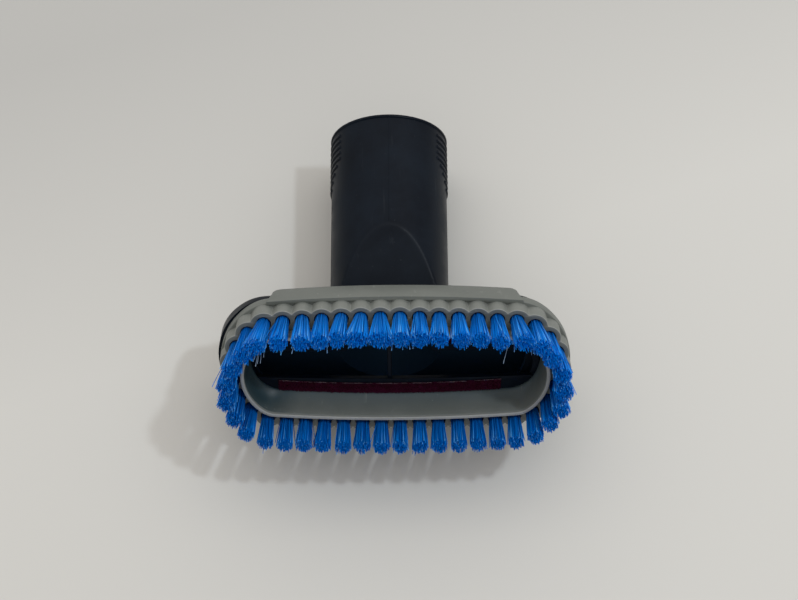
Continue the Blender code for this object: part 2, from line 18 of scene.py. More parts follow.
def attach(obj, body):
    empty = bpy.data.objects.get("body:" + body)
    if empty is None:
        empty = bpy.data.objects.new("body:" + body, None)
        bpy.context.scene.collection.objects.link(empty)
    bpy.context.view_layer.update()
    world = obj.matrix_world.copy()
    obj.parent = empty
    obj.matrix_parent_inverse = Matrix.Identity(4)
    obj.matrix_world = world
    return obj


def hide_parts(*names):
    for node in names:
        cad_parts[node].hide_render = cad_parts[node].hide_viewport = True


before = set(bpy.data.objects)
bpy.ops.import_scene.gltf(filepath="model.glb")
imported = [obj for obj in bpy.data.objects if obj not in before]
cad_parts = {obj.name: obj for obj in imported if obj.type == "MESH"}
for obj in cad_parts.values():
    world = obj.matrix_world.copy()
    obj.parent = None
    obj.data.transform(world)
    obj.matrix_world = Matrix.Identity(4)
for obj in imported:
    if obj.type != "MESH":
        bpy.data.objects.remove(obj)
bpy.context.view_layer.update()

# %% [markdown]
# ## The camera
# A picture is judged from where it was taken. The camera stands in front of the brush and looks
# down on it at about 67 degrees. Making it first means that every later look is the same look.

# %% Place the camera
CAMERA_PLACE = (0.0035, -0.18082, 0.49218)
CAMERA_TURN = (23.101, 0.196, -0.330)
CAMERA_LENS = 72.18

camera_data = bpy.data.cameras.new("camera")
camera_data.lens = CAMERA_LENS
camera_data.sensor_width = 36.0
camera_data.sensor_fit = "HORIZONTAL"
camera_data.clip_start = 0.01
camera = bpy.data.objects.new("camera", camera_data)
camera.location = CAMERA_PLACE
camera.rotation_euler = [math.radians(angle) for angle in CAMERA_TURN]
bpy.context.collection.objects.link(camera)
bpy.context.scene.camera = camera
bpy.context.scene.view_settings.view_transform = "Standard"
print("camera height in m:", round(camera.location.z, 3))

# %% [markdown]
# ## The face frame
# The head is tilted, so its pieces are easiest to draw flat: x across, y up the face and z out of
# the mouth, with zero where the bristles leave the frame. One matrix then stands them up.
# The brush frame sits 1.8 mm to the right of the nozzle, as a push fit often does after use.

# %% The turn from the face frame to the table
MM = 0.001
FACE_TURN = math.radians(50.85)
FACE_PLACE = Vector((0.0, -7.934, 32.027)) * MM
FRAME_OFFSET = 1.8
FRAME_SHIFT = Matrix.Translation((FRAME_OFFSET * MM, 0.0, 0.0))
TO_TABLE = Matrix.Translation(FACE_PLACE) @ Matrix.Rotation(FACE_TURN, 4, "X")
print("face turned up in degrees:", round(math.degrees(FACE_TURN), 2))

# %% [markdown]
# ## The oval
# The bristles stand on a long oval made of three arcs for each quarter: a small end arc, a corner
# arc and a nearly straight side. Every wall of the frame and the head is a parallel of that oval,
# so one formula and one distance give them all.

# %% Draw the oval and its parallels
Oval = namedtuple("Oval", "half_length half_height side_radius end_radius corner_radius")
TUFT_LINE = Oval(50.3, 18.25, 480.0, 18.4, 10.0)
OUTLINE_POINTS = 220


def grown(oval, distance):
    """The parallel of an oval, further out by a distance in millimetres."""
    return Oval(*(size + distance for size in oval))


def quarter_arcs(oval):
    """Centre, radius and angles of the end, corner and side arcs."""
    side = Vector((0.0, oval.half_height - oval.side_radius))
    end = Vector((oval.half_length - oval.end_radius, 0.0))
    side_reach = oval.side_radius - oval.corner_radius
    end_reach = oval.end_radius - oval.corner_radius
    between = end - side
    span = between.length
    along = (side_reach ** 2 - end_reach ** 2 + span ** 2) / (2 * span)
    across = math.sqrt(side_reach ** 2 - along ** 2)
    unit = between / span
    corner = side + unit * along + Vector((unit.y, -unit.x)) * across
    side_angle = math.atan2(corner.y - side.y, corner.x - side.x)
    end_angle = math.atan2(corner.y - end.y, corner.x - end.x)
    return [(end, oval.end_radius, 0.0, end_angle),
            (corner, oval.corner_radius, end_angle, side_angle),
            (side, oval.side_radius, side_angle, math.pi / 2)]


def quarter_length(oval):
    return sum(radius * (stop - start) for _, radius, start, stop in quarter_arcs(oval))


def quarter_point(oval, distance):
    """Point and outward direction at a distance along the quarter."""
    for centre, radius, start, stop in quarter_arcs(oval):
        length = radius * (stop - start)
        if distance <= length or stop >= math.pi / 2:
            angle = start + distance / radius
            outward = Vector((math.cos(angle), math.sin(angle)))
            return centre + outward * radius, outward
        distance -= length


def oval_point(oval, fraction):
    """Point and outward direction at a fraction of the way round, from the right over the top."""
    quarter = quarter_length(oval)
    turn, rest = divmod(fraction % 1.0 * 4.0, 1.0)
    flipped = turn in (1, 3)
    point, outward = quarter_point(oval, quarter * (1.0 - rest if flipped else rest))
    across = -1.0 if turn in (1, 2) else 1.0
    up = -1.0 if turn in (2, 3) else 1.0
    return Vector((point.x * across, point.y * up)), Vector((outward.x * across, outward.y * up))


def oval_outline(oval, count=OUTLINE_POINTS):
    return [oval_point(oval, index / count)[0] for index in range(count)]


def parallel(distance, count=OUTLINE_POINTS):
    """Outline of the bristle line's parallel, outside it or, for a distance below 0, inside."""
    return oval_outline(grown(TUFT_LINE, distance), count)


def side_sag(x):
    """How far the long side has dropped at a distance x from the middle, in millimetres."""
    radius = TUFT_LINE.side_radius
    return radius - math.sqrt(radius ** 2 - x * x)


print("way round the bristle line in mm:", round(4 * quarter_length(TUFT_LINE), 1))

# %% [markdown]
# ## Working by hand, in code
# Operators act on what is selected, as they do under the mouse. A few short helpers pick one
# piece, open and close edit mode, select edges by the direction of their faces, and join, cut and
# place pieces. With them a piece is made by the same steps as by hand.

# %% Select, edit and finish a piece
def choose(piece):
    """Deselect everything, then take one piece in hand."""
    bpy.ops.object.select_all(action="DESELECT")
    piece.select_set(True)
    bpy.context.view_layer.objects.active = piece


def edit(piece, everything=True):
    choose(piece)
    bpy.ops.object.mode_set(mode="EDIT")
    bpy.ops.mesh.select_all(action="SELECT" if everything else "DESELECT")


def done():
    bpy.ops.object.mode_set(mode="OBJECT")


def weld(piece, distance=0.01):
    """Merge points on the same spot and turn every face outwards."""
    edit(piece)
    bpy.ops.mesh.remove_doubles(threshold=distance)
    bpy.ops.mesh.normals_make_consistent(inside=False)
    done()


def pick_edges(piece, wanted):
    """Select the edges that a test accepts, given the directions of the faces beside them."""
    edit(piece, everything=False)
    bpy.ops.mesh.select_mode(type="EDGE")
    done()
    beside = {}
    for face in piece.data.polygons:
        for key in face.edge_keys:
            beside.setdefault(key, []).append(face)
    for edge in piece.data.edges:
        edge.select = bool(wanted(edge, beside.get(edge.key, [])))
    bpy.ops.object.mode_set(mode="EDIT")


def join(pieces, name):
    """Make several closed bodies one piece."""
    choose(pieces[0])
    for piece in pieces[1:]:
        piece.select_set(True)
    bpy.ops.object.join()
    made = bpy.context.view_layer.objects.active
    made.name = name
    made.data.name = name
    return made


def apply_modifier(piece, modifier):
    choose(piece)
    bpy.ops.object.modifier_apply(modifier=modifier.name)


def boolean(piece, other, operation):
    """Cut or join two bodies exactly, and throw the second away."""
    cut = piece.modifiers.new("cut", "BOOLEAN")
    cut.operation = operation
    cut.solver = "EXACT"
    cut.object = other
    apply_modifier(piece, cut)
    bpy.data.objects.remove(other)


def stand(piece, *moves):
    """Put a piece that was drawn in millimetres in its place on the table, in its mesh."""
    place = TO_TABLE
    for move in moves:
        place = place @ move
    piece.data.transform(place @ Matrix.Scale(MM, 4))


def smooth(piece, angle=35.0):
    choose(piece)
    bpy.ops.object.shade_smooth_by_angle(angle=math.radians(angle))


# %% [markdown]
# ## Plates
# Most of a moulding is flat plate with rounded edges. It could be a grid with holes cut in it,
# but a filled flat curve is the quickest way: its extrude is the thickness, and its bevel rounds
# both rims all the way round. The curve is made a mesh before it is moved.

# %% Make a plate from outlines
def plate(name, outlines, low, high, rounding=0.0):
    """A plate between two heights; the first outline is its edge and the others are holes."""
    curve = bpy.data.curves.new(name, "CURVE")
    curve.dimensions = "2D"
    curve.fill_mode = "BOTH"
    curve.extrude = (high - low) / 2 - rounding
    curve.bevel_depth = rounding
    curve.bevel_resolution = 2
    curve.offset = -rounding
    for number, outline in enumerate(outlines):
        spline = curve.splines.new("POLY")
        spline.points.add(len(outline) - 1)
        ordered = outline if number == 0 else list(reversed(outline))
        for control, point in zip(spline.points, ordered):
            control.co = (point[0], point[1], 0.0, 1.0)
        spline.use_cyclic_u = True
    drawn = bpy.data.objects.new(name, curve)
    bpy.context.collection.objects.link(drawn)
    choose(drawn)
    bpy.ops.object.convert(target="MESH")
    drawn.data.transform(Matrix.Translation((0.0, 0.0, (low + high) / 2)))
    weld(drawn, 0.002)
    return drawn


def slice_off(piece, point, direction):
    """Cut a closed piece along a plane, keep the side behind the direction and close it."""
    edit(piece)
    bpy.ops.mesh.bisect(plane_co=point, plane_no=direction, use_fill=True, clear_outer=True,
                        threshold=1e-6)
    done()


# %% [markdown]
# ## The scalloped ring
# The grey frame is one moulding. Its front is a ring with 41 blind holes, and its edge is
# gathered into half-round bosses, one about each hole, so the wall stays even and cools evenly.
# The bosses could be cylinders joined one by one. A plate drawn from the scallops and the holes
# gives them all at once.

# %% Scallops and holes
TUFT_COUNT = 41
HOLE_RADIUS = 2.3
HOLE_STEPS = 24
BOSS_RADIUS = 3.75
SCALLOP_STEPS = 14
CUSP_START = 0.42
CUSP_WIDTH = 0.08
CUSP_FILL = 0.15
RING_INSIDE = -3.6
RING_BACK = -6.4
RIM_ROUND = 0.25


def scalloped_outline():
    """Half-round bosses about the holes; the cusp where two meet is filled a little."""
    pitch = 4.0 * quarter_length(TUFT_LINE) / TUFT_COUNT
    outline = []
    for index in range(TUFT_COUNT * SCALLOP_STEPS):
        step = index % SCALLOP_STEPS
        away = abs((step + SCALLOP_STEPS / 2) % SCALLOP_STEPS - SCALLOP_STEPS / 2) / SCALLOP_STEPS
        reach = math.sqrt(BOSS_RADIUS ** 2 - (away * pitch) ** 2)
        reach += CUSP_FILL * max(0.0, away - CUSP_START) / CUSP_WIDTH
        point, outward = oval_point(TUFT_LINE, index / (TUFT_COUNT * SCALLOP_STEPS))
        outline.append(point + outward * reach)
    return outline


def hole_outline(index):
    centre, _ = oval_point(TUFT_LINE, index / TUFT_COUNT)
    angles = [2 * math.pi * step / HOLE_STEPS for step in range(HOLE_STEPS)]
    return [centre + Vector((math.cos(a), math.sin(a))) * HOLE_RADIUS for a in angles]


inner_edge = parallel(RING_INSIDE)
holes = [hole_outline(index) for index in range(TUFT_COUNT)]
ring = plate("ring", [scalloped_outline(), inner_edge] + holes, RING_BACK, 0.0, RIM_ROUND)
print("ring faces:", len(ring.data.polygons))

# %% [markdown]
# ## Painted light and shade
# Rims and cusps are painted pale as highlights, and inner corners are painted dark as shade.
# Both could be painted by hand. Here every point of a mesh stores a number worked out from its
# place, and the materials read it later: one number says how much painted light a point gets,
# and "inside" says how deep inside it lies, which the grey plastic paints as shade and the black
# as a lighter painted light.

# %% Paint the ring
RIM_FOOT = -0.22
RIM_TOP = -0.01


def close_to(piece, marks, reach):
    """For each point of a piece, whether any of the given flat points is within the reach."""
    places = np.array([vertex.co[:2] for vertex in piece.data.vertices])
    spots = np.array([tuple(mark) for mark in marks])
    gaps = np.sqrt(((places[:, None, :] - spots[None, :, :]) ** 2).sum(axis=2))
    return gaps.min(axis=1) < reach


def paint(piece, name, values, on="POINT"):
    """Store one number for each point or face, for the materials to read."""
    piece.data.attributes.new(name, "FLOAT", on).data.foreach_set("value", list(values))


cusps = scalloped_outline()[SCALLOP_STEPS // 2::SCALLOP_STEPS]
heights = np.array([vertex.co.z for vertex in ring.data.vertices])
rim = (heights > RIM_FOOT) & (heights < RIM_TOP)
wall = heights < RIM_FOOT
# Painted highlight on the ring's front rim and cusps, and painted light on its outer walls.
paint(ring, "painted_light", np.max([0.60 * rim, 0.18 * wall, 0.35 * close_to(ring, cusps, 0.35)], axis=0))
# Painted shade along the ring's inner edge, between the tufts.
paint(ring, "inside", 0.7 * close_to(ring, inner_edge, 0.45))
print("rim points:", int(rim.sum()))

# %% [markdown]
# ## Flange, skirt and sloping shelf
# Behind the ring a flange stands out a little all round. Inside it a thin wall, the skirt, keeps
# dust in front of the mouth. From the skirt's foot a shelf slopes down to the opening. The first
# two are plates. The shelf joins two different ovals, which no plate does, so it is lofted: rings
# of points, joined in order.

# %% Flange and skirt
FLANGE_OUTSIDE = 3.9
FLANGE_BACK = -9.0
FLANGE_FRONT = -5.4
SKIRT_OUTSIDE = -3.04
SKIRT_INSIDE = -4.14
SKIRT_FOOT = -3.5
SKIRT_RIM = 4.7

flange = plate("flange", [parallel(FLANGE_OUTSIDE), inner_edge], FLANGE_BACK, FLANGE_FRONT, 0.3)
skirt = plate("skirt", [parallel(SKIRT_OUTSIDE), parallel(SKIRT_INSIDE)], SKIRT_FOOT, SKIRT_RIM, 0.24)
print("flange and skirt faces:", len(flange.data.polygons), len(skirt.data.polygons))


# %% Helpers for a loft
def from_points(name, points, edges=(), faces=()):
    """A new piece from its points and what joins them."""
    mesh = bpy.data.meshes.new(name)
    mesh.from_pydata(points, edges, faces)
    made = bpy.data.objects.new(name, mesh)
    bpy.context.collection.objects.link(made)
    return made


def faces_between(rings, count, closed=False):
    """Four-sided faces from each ring to the next, and from the last to the first if closed."""
    faces = []
    for row in range(rings if closed else rings - 1):
        here = row * count
        following = (row + 1) % rings * count
        for side in range(count):
            beside = (side + 1) % count
            faces.append((here + side, here + beside, following + beside, following + side))
    return faces


def at_height(outline, height):
    return [(point.x, point.y, height) for point in outline]


# %% Loft the shelf
OPENING = Oval(44.8, 13.2, 480.0, 16.0, 10.0)
OPENING_LIFT = 3.0
OPENING_TOP = 0.58
SHELF_START = parallel(-4.25)
SHELF_STEPS = [(0.0, 3.3, 0.0), (0.13, 1.6, 0.10), (0.28, 0.0, 0.26), (0.5, -1.5, 0.50),
               (0.82, -2.95, 0.74), (0.94, -3.35, 0.80), (1.0, -3.7, 0.82), (1.0, -4.2, 0.82)]


def opening_outline():
    """The opening is flatter above than below, where the top wall of the mouth cuts it short."""
    return [Vector((point.x, OPENING_LIFT + point.y * (OPENING_TOP if point.y > 0 else 1.0)))
            for point in oval_outline(OPENING)]


def shelf_ring(share, height):
    """A ring part of the way from the skirt's foot to the opening."""
    mixed = [a.lerp(b, share) for a, b in zip(SHELF_START, opening_outline())]
    return at_height(mixed, height)


shelf_rings = [at_height(parallel(-3.9), 3.9)]
shelf_rings += [shelf_ring(share, height) for share, height, _ in SHELF_STEPS]
shelf_rings.append(at_height(parallel(-4.0), -4.2))
shelf_points = [point for ring_points in shelf_rings for point in ring_points]
shelf = from_points("shelf", shelf_points,
                    faces=faces_between(len(shelf_rings), OUTLINE_POINTS, closed=True))
edit(shelf)
bpy.ops.mesh.normals_make_consistent(inside=False)
done()
print("shelf faces:", len(shelf.data.polygons))

# %% Paint shade on the shelf, and a highlight on the skirt's rim
RING_SHADES = [0.0] + [shade for _, _, shade in SHELF_STEPS] + [0.1]
LEFT_END_SHADE = 0.85
RIGHT_END_LIGHT = 0.05


def clamp(value):
    return min(1.0, max(0.0, value))


# Painted shade: the deeper rings are darker, the left end darker still, the right end a bit lighter.
shaded = []
for number, vertex in enumerate(shelf.data.vertices):
    left_end = clamp((-vertex.co.x - 30.0) / 12.0)
    right_end = clamp((vertex.co.x - 34.0) / 10.0)
    shade = RING_SHADES[number // OUTLINE_POINTS]
    shaded.append(clamp(shade + LEFT_END_SHADE * left_end - RIGHT_END_LIGHT * right_end))
paint(shelf, "inside", shaded)
# Painted light: the less shaded parts of the shelf are lifted a little towards the pale colour.
paint(shelf, "painted_light", [0.08 * (1.0 - shade) for shade in shaded])
# Painted highlight along the top of the skirt's rim.
paint(skirt, "painted_light", [clamp((vertex.co.z - 4.3) / 0.3) for vertex in skirt.data.vertices])
print("deepest shade:", round(max(shaded), 2))

# %% [markdown]
# ## Clip plates
# Two bowed plates reach back over the nozzle's long sides and hold the frame on. Each is a slice
# of an oval wall, trimmed to rounded back corners. Bending a flat plate would need the same curve
# again, so the wall is cut instead: a Boolean with a flat shape that stands on edge trims it, and
# a bevel breaks the sharp rim.

# %% Arcs, mirrored outlines and rounded rims
def arc(x, y, radius, start, stop, steps):
    """Points of an arc about (x, y), from one angle to another in degrees."""
    points = []
    for step in range(steps + 1):
        angle = math.radians(start + (stop - start) * step / steps)
        points.append(Vector((x + radius * math.cos(angle), y + radius * math.sin(angle))))
    return points


def with_mirror(points):
    """The points, and then their mirror image from the last point back."""
    return points + [Vector((-point.x, point.y)) for point in reversed(points)]


def round_rims(piece, width, segments, least_angle):
    """Bevel every edge that turns by more than an angle in degrees."""
    edge = piece.modifiers.new("edge", "BEVEL")
    edge.width = width
    edge.segments = segments
    edge.limit_method = "ANGLE"
    edge.angle_limit = math.radians(least_angle)
    apply_modifier(piece, edge)


# %% Trim two clips from an oval wall
CLIP_OUTSIDE = 4.65
CLIP_INSIDE = 3.45
CLIP_HALF_WIDTH = 39.4
CLIP_SLANT = 1.8
CLIP_CORNER = 2.6
CLIP_BACK = -12.7
CLIP_FRONT = -5.0


def clip(sign):
    """A clip over the nozzle's upper side, or with a sign of -1 under its lower side."""
    wall = plate("clip", [parallel(CLIP_OUTSIDE), parallel(CLIP_INSIDE)], CLIP_BACK, CLIP_FRONT)
    corner_x = CLIP_HALF_WIDTH - CLIP_SLANT - CLIP_CORNER
    side = [Vector((CLIP_HALF_WIDTH, CLIP_FRONT + 1.0))]
    side += arc(corner_x, CLIP_BACK + CLIP_CORNER, CLIP_CORNER, 0, -90, 8)
    trim = plate("trim", [list(reversed(with_mirror(side)))], 0.0, 60.0)
    trim.data.transform(Matrix.Rotation(math.pi / 2, 4, "X"))
    if sign > 0:
        trim.data.transform(Matrix.Scale(-1.0, 4, (0, 1, 0)))
    weld(trim)
    boolean(wall, trim, "INTERSECT")
    round_rims(wall, 0.22, 2, 40)
    return wall


upper_clip = clip(1)
lower_clip = clip(-1)
print("clip faces:", len(upper_clip.data.polygons), len(lower_clip.data.polygons))

# %% [markdown]
# ## Moulding flash on the skirt
# The skirt's rim is where the mould closed and where the brush drags over floors, so the real one
# carries little crumbs of flash. A bump in the material would vanish against the light, so they
# are small flattened grains, scattered with a fixed seed. Three in four lie on the lower side.

# %% Scatter crumbs along the rim
CRUMB_COUNT = 34
CRUMB_HEIGHT = 4.62
SKIRT_MIDDLE = grown(TUFT_LINE, -3.5)
LOWER_SIDE = (0.53, 0.97)
UPPER_SIDE = (0.03, 0.47)


def primitive(add, scale=(1.0, 1.0, 1.0), **settings):
    """Add a primitive with nothing else selected, and put its place and scale in its mesh."""
    bpy.ops.object.select_all(action="DESELECT")
    add(**settings)
    made = bpy.context.active_object
    made.scale = scale
    bpy.ops.object.transform_apply(location=True, rotation=True, scale=True)
    return made


chance = random.Random(11)
crumbs = []
for number in range(CRUMB_COUNT):
    fraction = chance.uniform(*(LOWER_SIDE if number % 4 else UPPER_SIDE))
    point, outward = oval_point(SKIRT_MIDDLE, fraction)
    spot = point + outward * chance.uniform(-0.45, 0.35)
    radius = chance.uniform(0.10, 0.26)
    turn = chance.uniform(0, 3)
    crumbs.append(primitive(bpy.ops.mesh.primitive_ico_sphere_add, (1.0, 0.7, 0.5), subdivisions=1,
                            radius=radius, location=(spot.x, spot.y, CRUMB_HEIGHT),
                            rotation=(turn, turn * 2.0, turn * 3.0)))
print("crumbs:", len(crumbs))

# %% Join the frame and set it down
frame_parts = [ring, flange, skirt, shelf, upper_clip, lower_clip]
brush_frame = join(frame_parts + crumbs, "brush_frame_moulding")
stand(brush_frame, FRAME_SHIFT)
smooth(brush_frame, 40)
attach(brush_frame, "root")
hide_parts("brush_frame")
print("frame faces:", len(brush_frame.data.polygons))

# %% [markdown]
# ## The nozzle's neck
# The neck is turned, so its profile is drawn once and spun about its own axis, with a slim bead
# at its open end. On top it is flattened where it runs into the head, and the crease there is
# only just rounded. A Boolean would leave it knife sharp, so the spun points are pressed down by
# a smooth minimum of the round and the flat.

# %% Spin the neck and press its flat
NECK_RADIUS = 19.0
NECK_LENGTH = 70.6
NECK_BACK = -6.0
NECK_STEP = 0.48
BEAD = [(0.12, -0.98), (0.3, -0.9), (0.4, -0.7), (0.4, -0.3), (0.3, -0.1), (0.1, 0.0)]
FLAT_START = 31.2
FLAT_ANGLE = math.radians(20.8)
FLAT_SLOPE = math.tan(FLAT_ANGLE)
PRESS_END = FLAT_START + 6


def spun(name, profile, steps=144):
    """A body turned about Z from (radius, height) points."""
    made = from_points(name, [(radius, 0.0, height) for radius, height in profile],
                       edges=[(index, index + 1) for index in range(len(profile) - 1)])
    edit(made)
    bpy.ops.mesh.spin(steps=steps, angle=2 * math.pi, center=(0, 0, 0), axis=(0, 0, 1))
    done()
    weld(made, 0.002)
    return made


def soft_minimum(a, b, softness):
    return (a + b - math.sqrt((a - b) ** 2 + softness ** 2)) / 2


def press_flat(piece, drop, softness):
    """Push the top of a round bar down to the sloping flat, or to a plane a drop below it."""
    for vertex in piece.data.vertices:
        height = vertex.co.z
        flat = NECK_RADIUS - drop - (FLAT_START - height) * FLAT_SLOPE
        if height < PRESS_END and vertex.co.y > max(0.0, flat - 4.0 * softness):
            vertex.co.y = soft_minimum(vertex.co.y, flat, softness)


profile = [(0.0, NECK_BACK)]
profile += [(NECK_RADIUS, NECK_BACK + NECK_STEP * step) for step in range(90)]
profile += [(NECK_RADIUS, height) for height in (42.0, 50.0, 60.0, NECK_LENGTH - 1.1)]
profile += [(NECK_RADIUS + out, NECK_LENGTH + along) for out, along in BEAD]
profile += [(0.0, NECK_LENGTH)]
neck = spun("nozzle_moulding", profile)
press_flat(neck, 0.0, 0.18)
print("neck faces:", len(neck.data.polygons))

# %% [markdown]
# ## The head and its hollow
# The head is a deep oval cup. Its back leans, and the edge round that back is well rounded. It
# could be shelled with Solidify, but neck and head meet at an angle and their inner walls would
# cross. So the hollow is cut out in one go with the bore, and the wall stays about 2 mm.

# %% Shape the head's outside
BACK_LEAN = math.radians(21.2)
BACK_DIRECTION = Matrix.Rotation(BACK_LEAN, 3, "X") @ Vector((0.0, 0.0, -1.0))
BACK_HINGE = Vector((0.0, 21.3, -12.8))
BACK_ROUND = 2.2
HEAD_OUTSIDE = 3.05
HEAD_FRONT = -9.3
BEHIND_ALL = -60.0
NECK_TILT = math.radians(39.15)
NECK_START = Vector((0.0, 0.0, -20.0))
NECK_TO_FACE = (Matrix.Translation(NECK_START) @ Matrix.Rotation(NECK_TILT - math.pi, 4, "X")
                @ Matrix.Rotation(math.pi, 4, "Z"))

shell = plate("shell", [parallel(HEAD_OUTSIDE)], BEHIND_ALL, HEAD_FRONT)
slice_off(shell, BACK_HINGE, BACK_DIRECTION)


def is_back_rim(edge, faces):
    backs = [face for face in faces if face.normal.dot(BACK_DIRECTION) > 0.999]
    return len(backs) == 1 and len(faces) == 2


pick_edges(shell, is_back_rim)
bpy.ops.mesh.bevel(offset=BACK_ROUND, segments=6, affect="EDGES")
done()
neck.data.transform(NECK_TO_FACE)
boolean(neck, shell, "UNION")
print("outside faces:", len(neck.data.polygons))

# %% Cut the hollow and the bore
WALL = 2.2
HOLLOW_OUTSIDE = 0.85
HOLLOW_POINTS = 140
BORE_RADIUS = 17.0
BORE_BACK = -8.0
BORE_STEP = 0.9
BORE_DROP = 2.1 / math.cos(FLAT_ANGLE)
BORE_END = NECK_LENGTH + 1.0
BLOCK_LINE = grown(TUFT_LINE, -3.9)
MOUTH_BLOCK = BLOCK_LINE._replace(half_length=BLOCK_LINE.half_length - FRAME_OFFSET)
BLOCK_HOLLOW = grown(MOUTH_BLOCK, -2.0)

bore_profile = [(0.0, BORE_BACK)] + [(BORE_RADIUS, BORE_BACK + BORE_STEP * step) for step in range(50)]
bore_profile += [(17.2, 50.0), (17.3, 60.0), (17.4, BORE_END), (0.0, BORE_END)]
bore = spun("bore", bore_profile, 96)
press_flat(bore, BORE_DROP, 0.7)
bore.data.transform(NECK_TO_FACE)
hollow = plate("hollow", [parallel(HOLLOW_OUTSIDE, HOLLOW_POINTS)], BEHIND_ALL, -11.5)
slice_off(hollow, BACK_HINGE - BACK_DIRECTION * WALL, BACK_DIRECTION)
boolean(hollow, plate("throat", [oval_outline(BLOCK_HOLLOW, HOLLOW_POINTS)], -12.5, -6.0), "UNION")


def skin_of(piece):
    """The surface of a piece, kept for asking later how near a point is to it."""
    return BVHTree.FromPolygons([vertex.co.copy() for vertex in piece.data.vertices],
                                [tuple(face.vertices) for face in piece.data.polygons])


skins = [(skin_of(hollow), 0.6), (skin_of(bore), 1.0)]
boolean(hollow, bore, "UNION")
boolean(neck, hollow, "DIFFERENCE")
# Painted light inside: hollow and bore faces carry "inside", which the black mixes lighter, bluer.
inside = []
for face in neck.data.polygons:
    touched = [amount for skin, amount in skins if skin.find_nearest(face.center, 0.02)[0]]
    inside.append(max(touched, default=0.0))
paint(neck, "inside", inside, "FACE")
print("nozzle faces:", len(neck.data.polygons))

# %% [markdown]
# ## The mouth
# The mouth block carries two lips with a slot between them. The upper lip is cut back in the
# middle, and one rib stands across the slot to keep carpet out. Rounded lip edges catch the
# light, so the lips are a plate with the slot cut out and every rim bevelled. Where the light
# doesn't reach them, the lips look dull, so "matte" is painted there.

# %% Lips and block
SLOT_REACH = 50
SLOT_TOP = 4.6
SLOT_BOTTOM = -5.4
SLOT_SWEEP = 1900
NOTCH_HALF = 14.5
BLOCK_STRETCH = 1.04


def slot_outline():
    """The slot runs past the frame's opening at both ends; its lower edge lifts towards them."""
    steps = list(range(SLOT_REACH, -SLOT_REACH - 1, -1))
    above = [Vector((x, SLOT_TOP)) for x in steps]
    below = [Vector((x, SLOT_BOTTOM + x * x / SLOT_SWEEP)) for x in reversed(steps)]
    notch = with_mirror(arc(14.2, 5.6, 1.2, -90, -180, 6) + arc(12.2, 10.0, 0.8, 0, 90, 6))
    right = [point for point in above if point.x > NOTCH_HALF]
    left = [point for point in above if point.x < -NOTCH_HALF]
    return right + notch + left + below


def block_outline(oval):
    """The frame sits to the right, so the block's right end reaches a little further."""
    return [Vector((point.x * (BLOCK_STRETCH if point.x > 0 else 1.0), point.y))
            for point in oval_outline(oval)]


lips = plate("lips", [block_outline(MOUTH_BLOCK)], -6.0, -4.0)
boolean(lips, plate("slot", [slot_outline()], -8.0, -2.0), "DIFFERENCE")
round_rims(lips, 0.3, 3, 50)
paint(lips, "matte", [vertex.co.y > 3.6 or vertex.co.x < -34.8 for vertex in lips.data.vertices])
block = plate("block", [block_outline(grown(MOUTH_BLOCK, -0.1)), block_outline(BLOCK_HOLLOW)],
              -10.2, -5.0)
print("lip faces:", len(lips.data.polygons))


# %% The rib and its nub
def rounded_box(low, high, rounding):
    """A cube sized to a box, with its edges rounded."""
    middle = [(a + b) / 2 for a, b in zip(low, high)]
    size = [b - a for a, b in zip(low, high)]
    made = primitive(bpy.ops.mesh.primitive_cube_add, size, size=1.0, location=middle)
    edit(made)
    bpy.ops.mesh.bevel(offset=rounding, segments=3, affect="EDGES")
    done()
    return made


rib = rounded_box((-0.7, -13.0, -13.0), (0.7, 13.0, -5.0), 0.3)
nub = rounded_box((-0.55, -7.2, -5.4), (0.55, -6.0, -4.3), 0.4)
print("rib faces:", len(rib.data.polygons))

# %% [markdown]
# ## Grip ridges and the parting line
# Nine fine ridges stand on each side of the neck, for the fingers, and a thin line along its top
# shows where the mould's halves met. Ridges could be extruded from the neck's own faces. A thin
# torus sunk in the neck and sliced away above and below gives a ridge with fading ends at once.

# %% Ridges, parting line and the finished nozzle
RIDGE_COUNT = 9
RIDGE_PITCH = 2.07
RIDGE_START = 3.0
LONG_RIDGE = 10.6
SHORT_RIDGE = 3.4
FULL_RIDGES = 4
PARTING_START = 32.6
PARTING_END = 70.0


def ridge(index):
    """A thin torus sunk in the neck, kept along its two sides; the last few grow shorter."""
    short = max(index - FULL_RIDGES, 0) / (RIDGE_COUNT - 1 - FULL_RIDGES)
    half = LONG_RIDGE + (SHORT_RIDGE - LONG_RIDGE) * short
    height = NECK_LENGTH - RIDGE_START - index * RIDGE_PITCH
    made = primitive(bpy.ops.mesh.primitive_torus_add, major_segments=144, minor_segments=12,
                     major_radius=18.9, minor_radius=0.55, location=(0.0, 0.0, height))
    slice_off(made, (0.0, half, 0.0), (0.0, 1.0, 0.0))
    slice_off(made, (0.0, -half, 0.0), (0.0, -1.0, 0.0))
    return made


ridges = [ridge(index) for index in range(RIDGE_COUNT)]
parting = primitive(bpy.ops.mesh.primitive_cylinder_add, vertices=12, radius=0.16,
                    depth=PARTING_END - PARTING_START,
                    location=(0.0, 18.93, (PARTING_START + PARTING_END) / 2))
for piece in ridges + [parting]:
    piece.data.transform(NECK_TO_FACE)
nozzle = join([neck, lips, block, rib, nub, parting] + ridges, "nozzle_moulding")
stand(nozzle)
slice_off(nozzle, (0.0, 0.0, 0.0), (0.0, 0.0, -1.0))
smooth(nozzle, 32)
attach(nozzle, "root")
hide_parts("nozzle_body")
print("nozzle faces:", len(nozzle.data.polygons))

# %% [markdown]
# ## Velvet strips
# Three strips of dark red velvet lie on the lips and pick up threads. Velvet is a backing with a
# short dense pile, which no smooth surface shows. So the backing is a bowed plate, and the pile is
# one small pointed hair, modelled once and set down thousands of times, each leaning a little its
# own way. The cut edge of the lower strip has frayed, so longer pale hairs stand there in clumps.

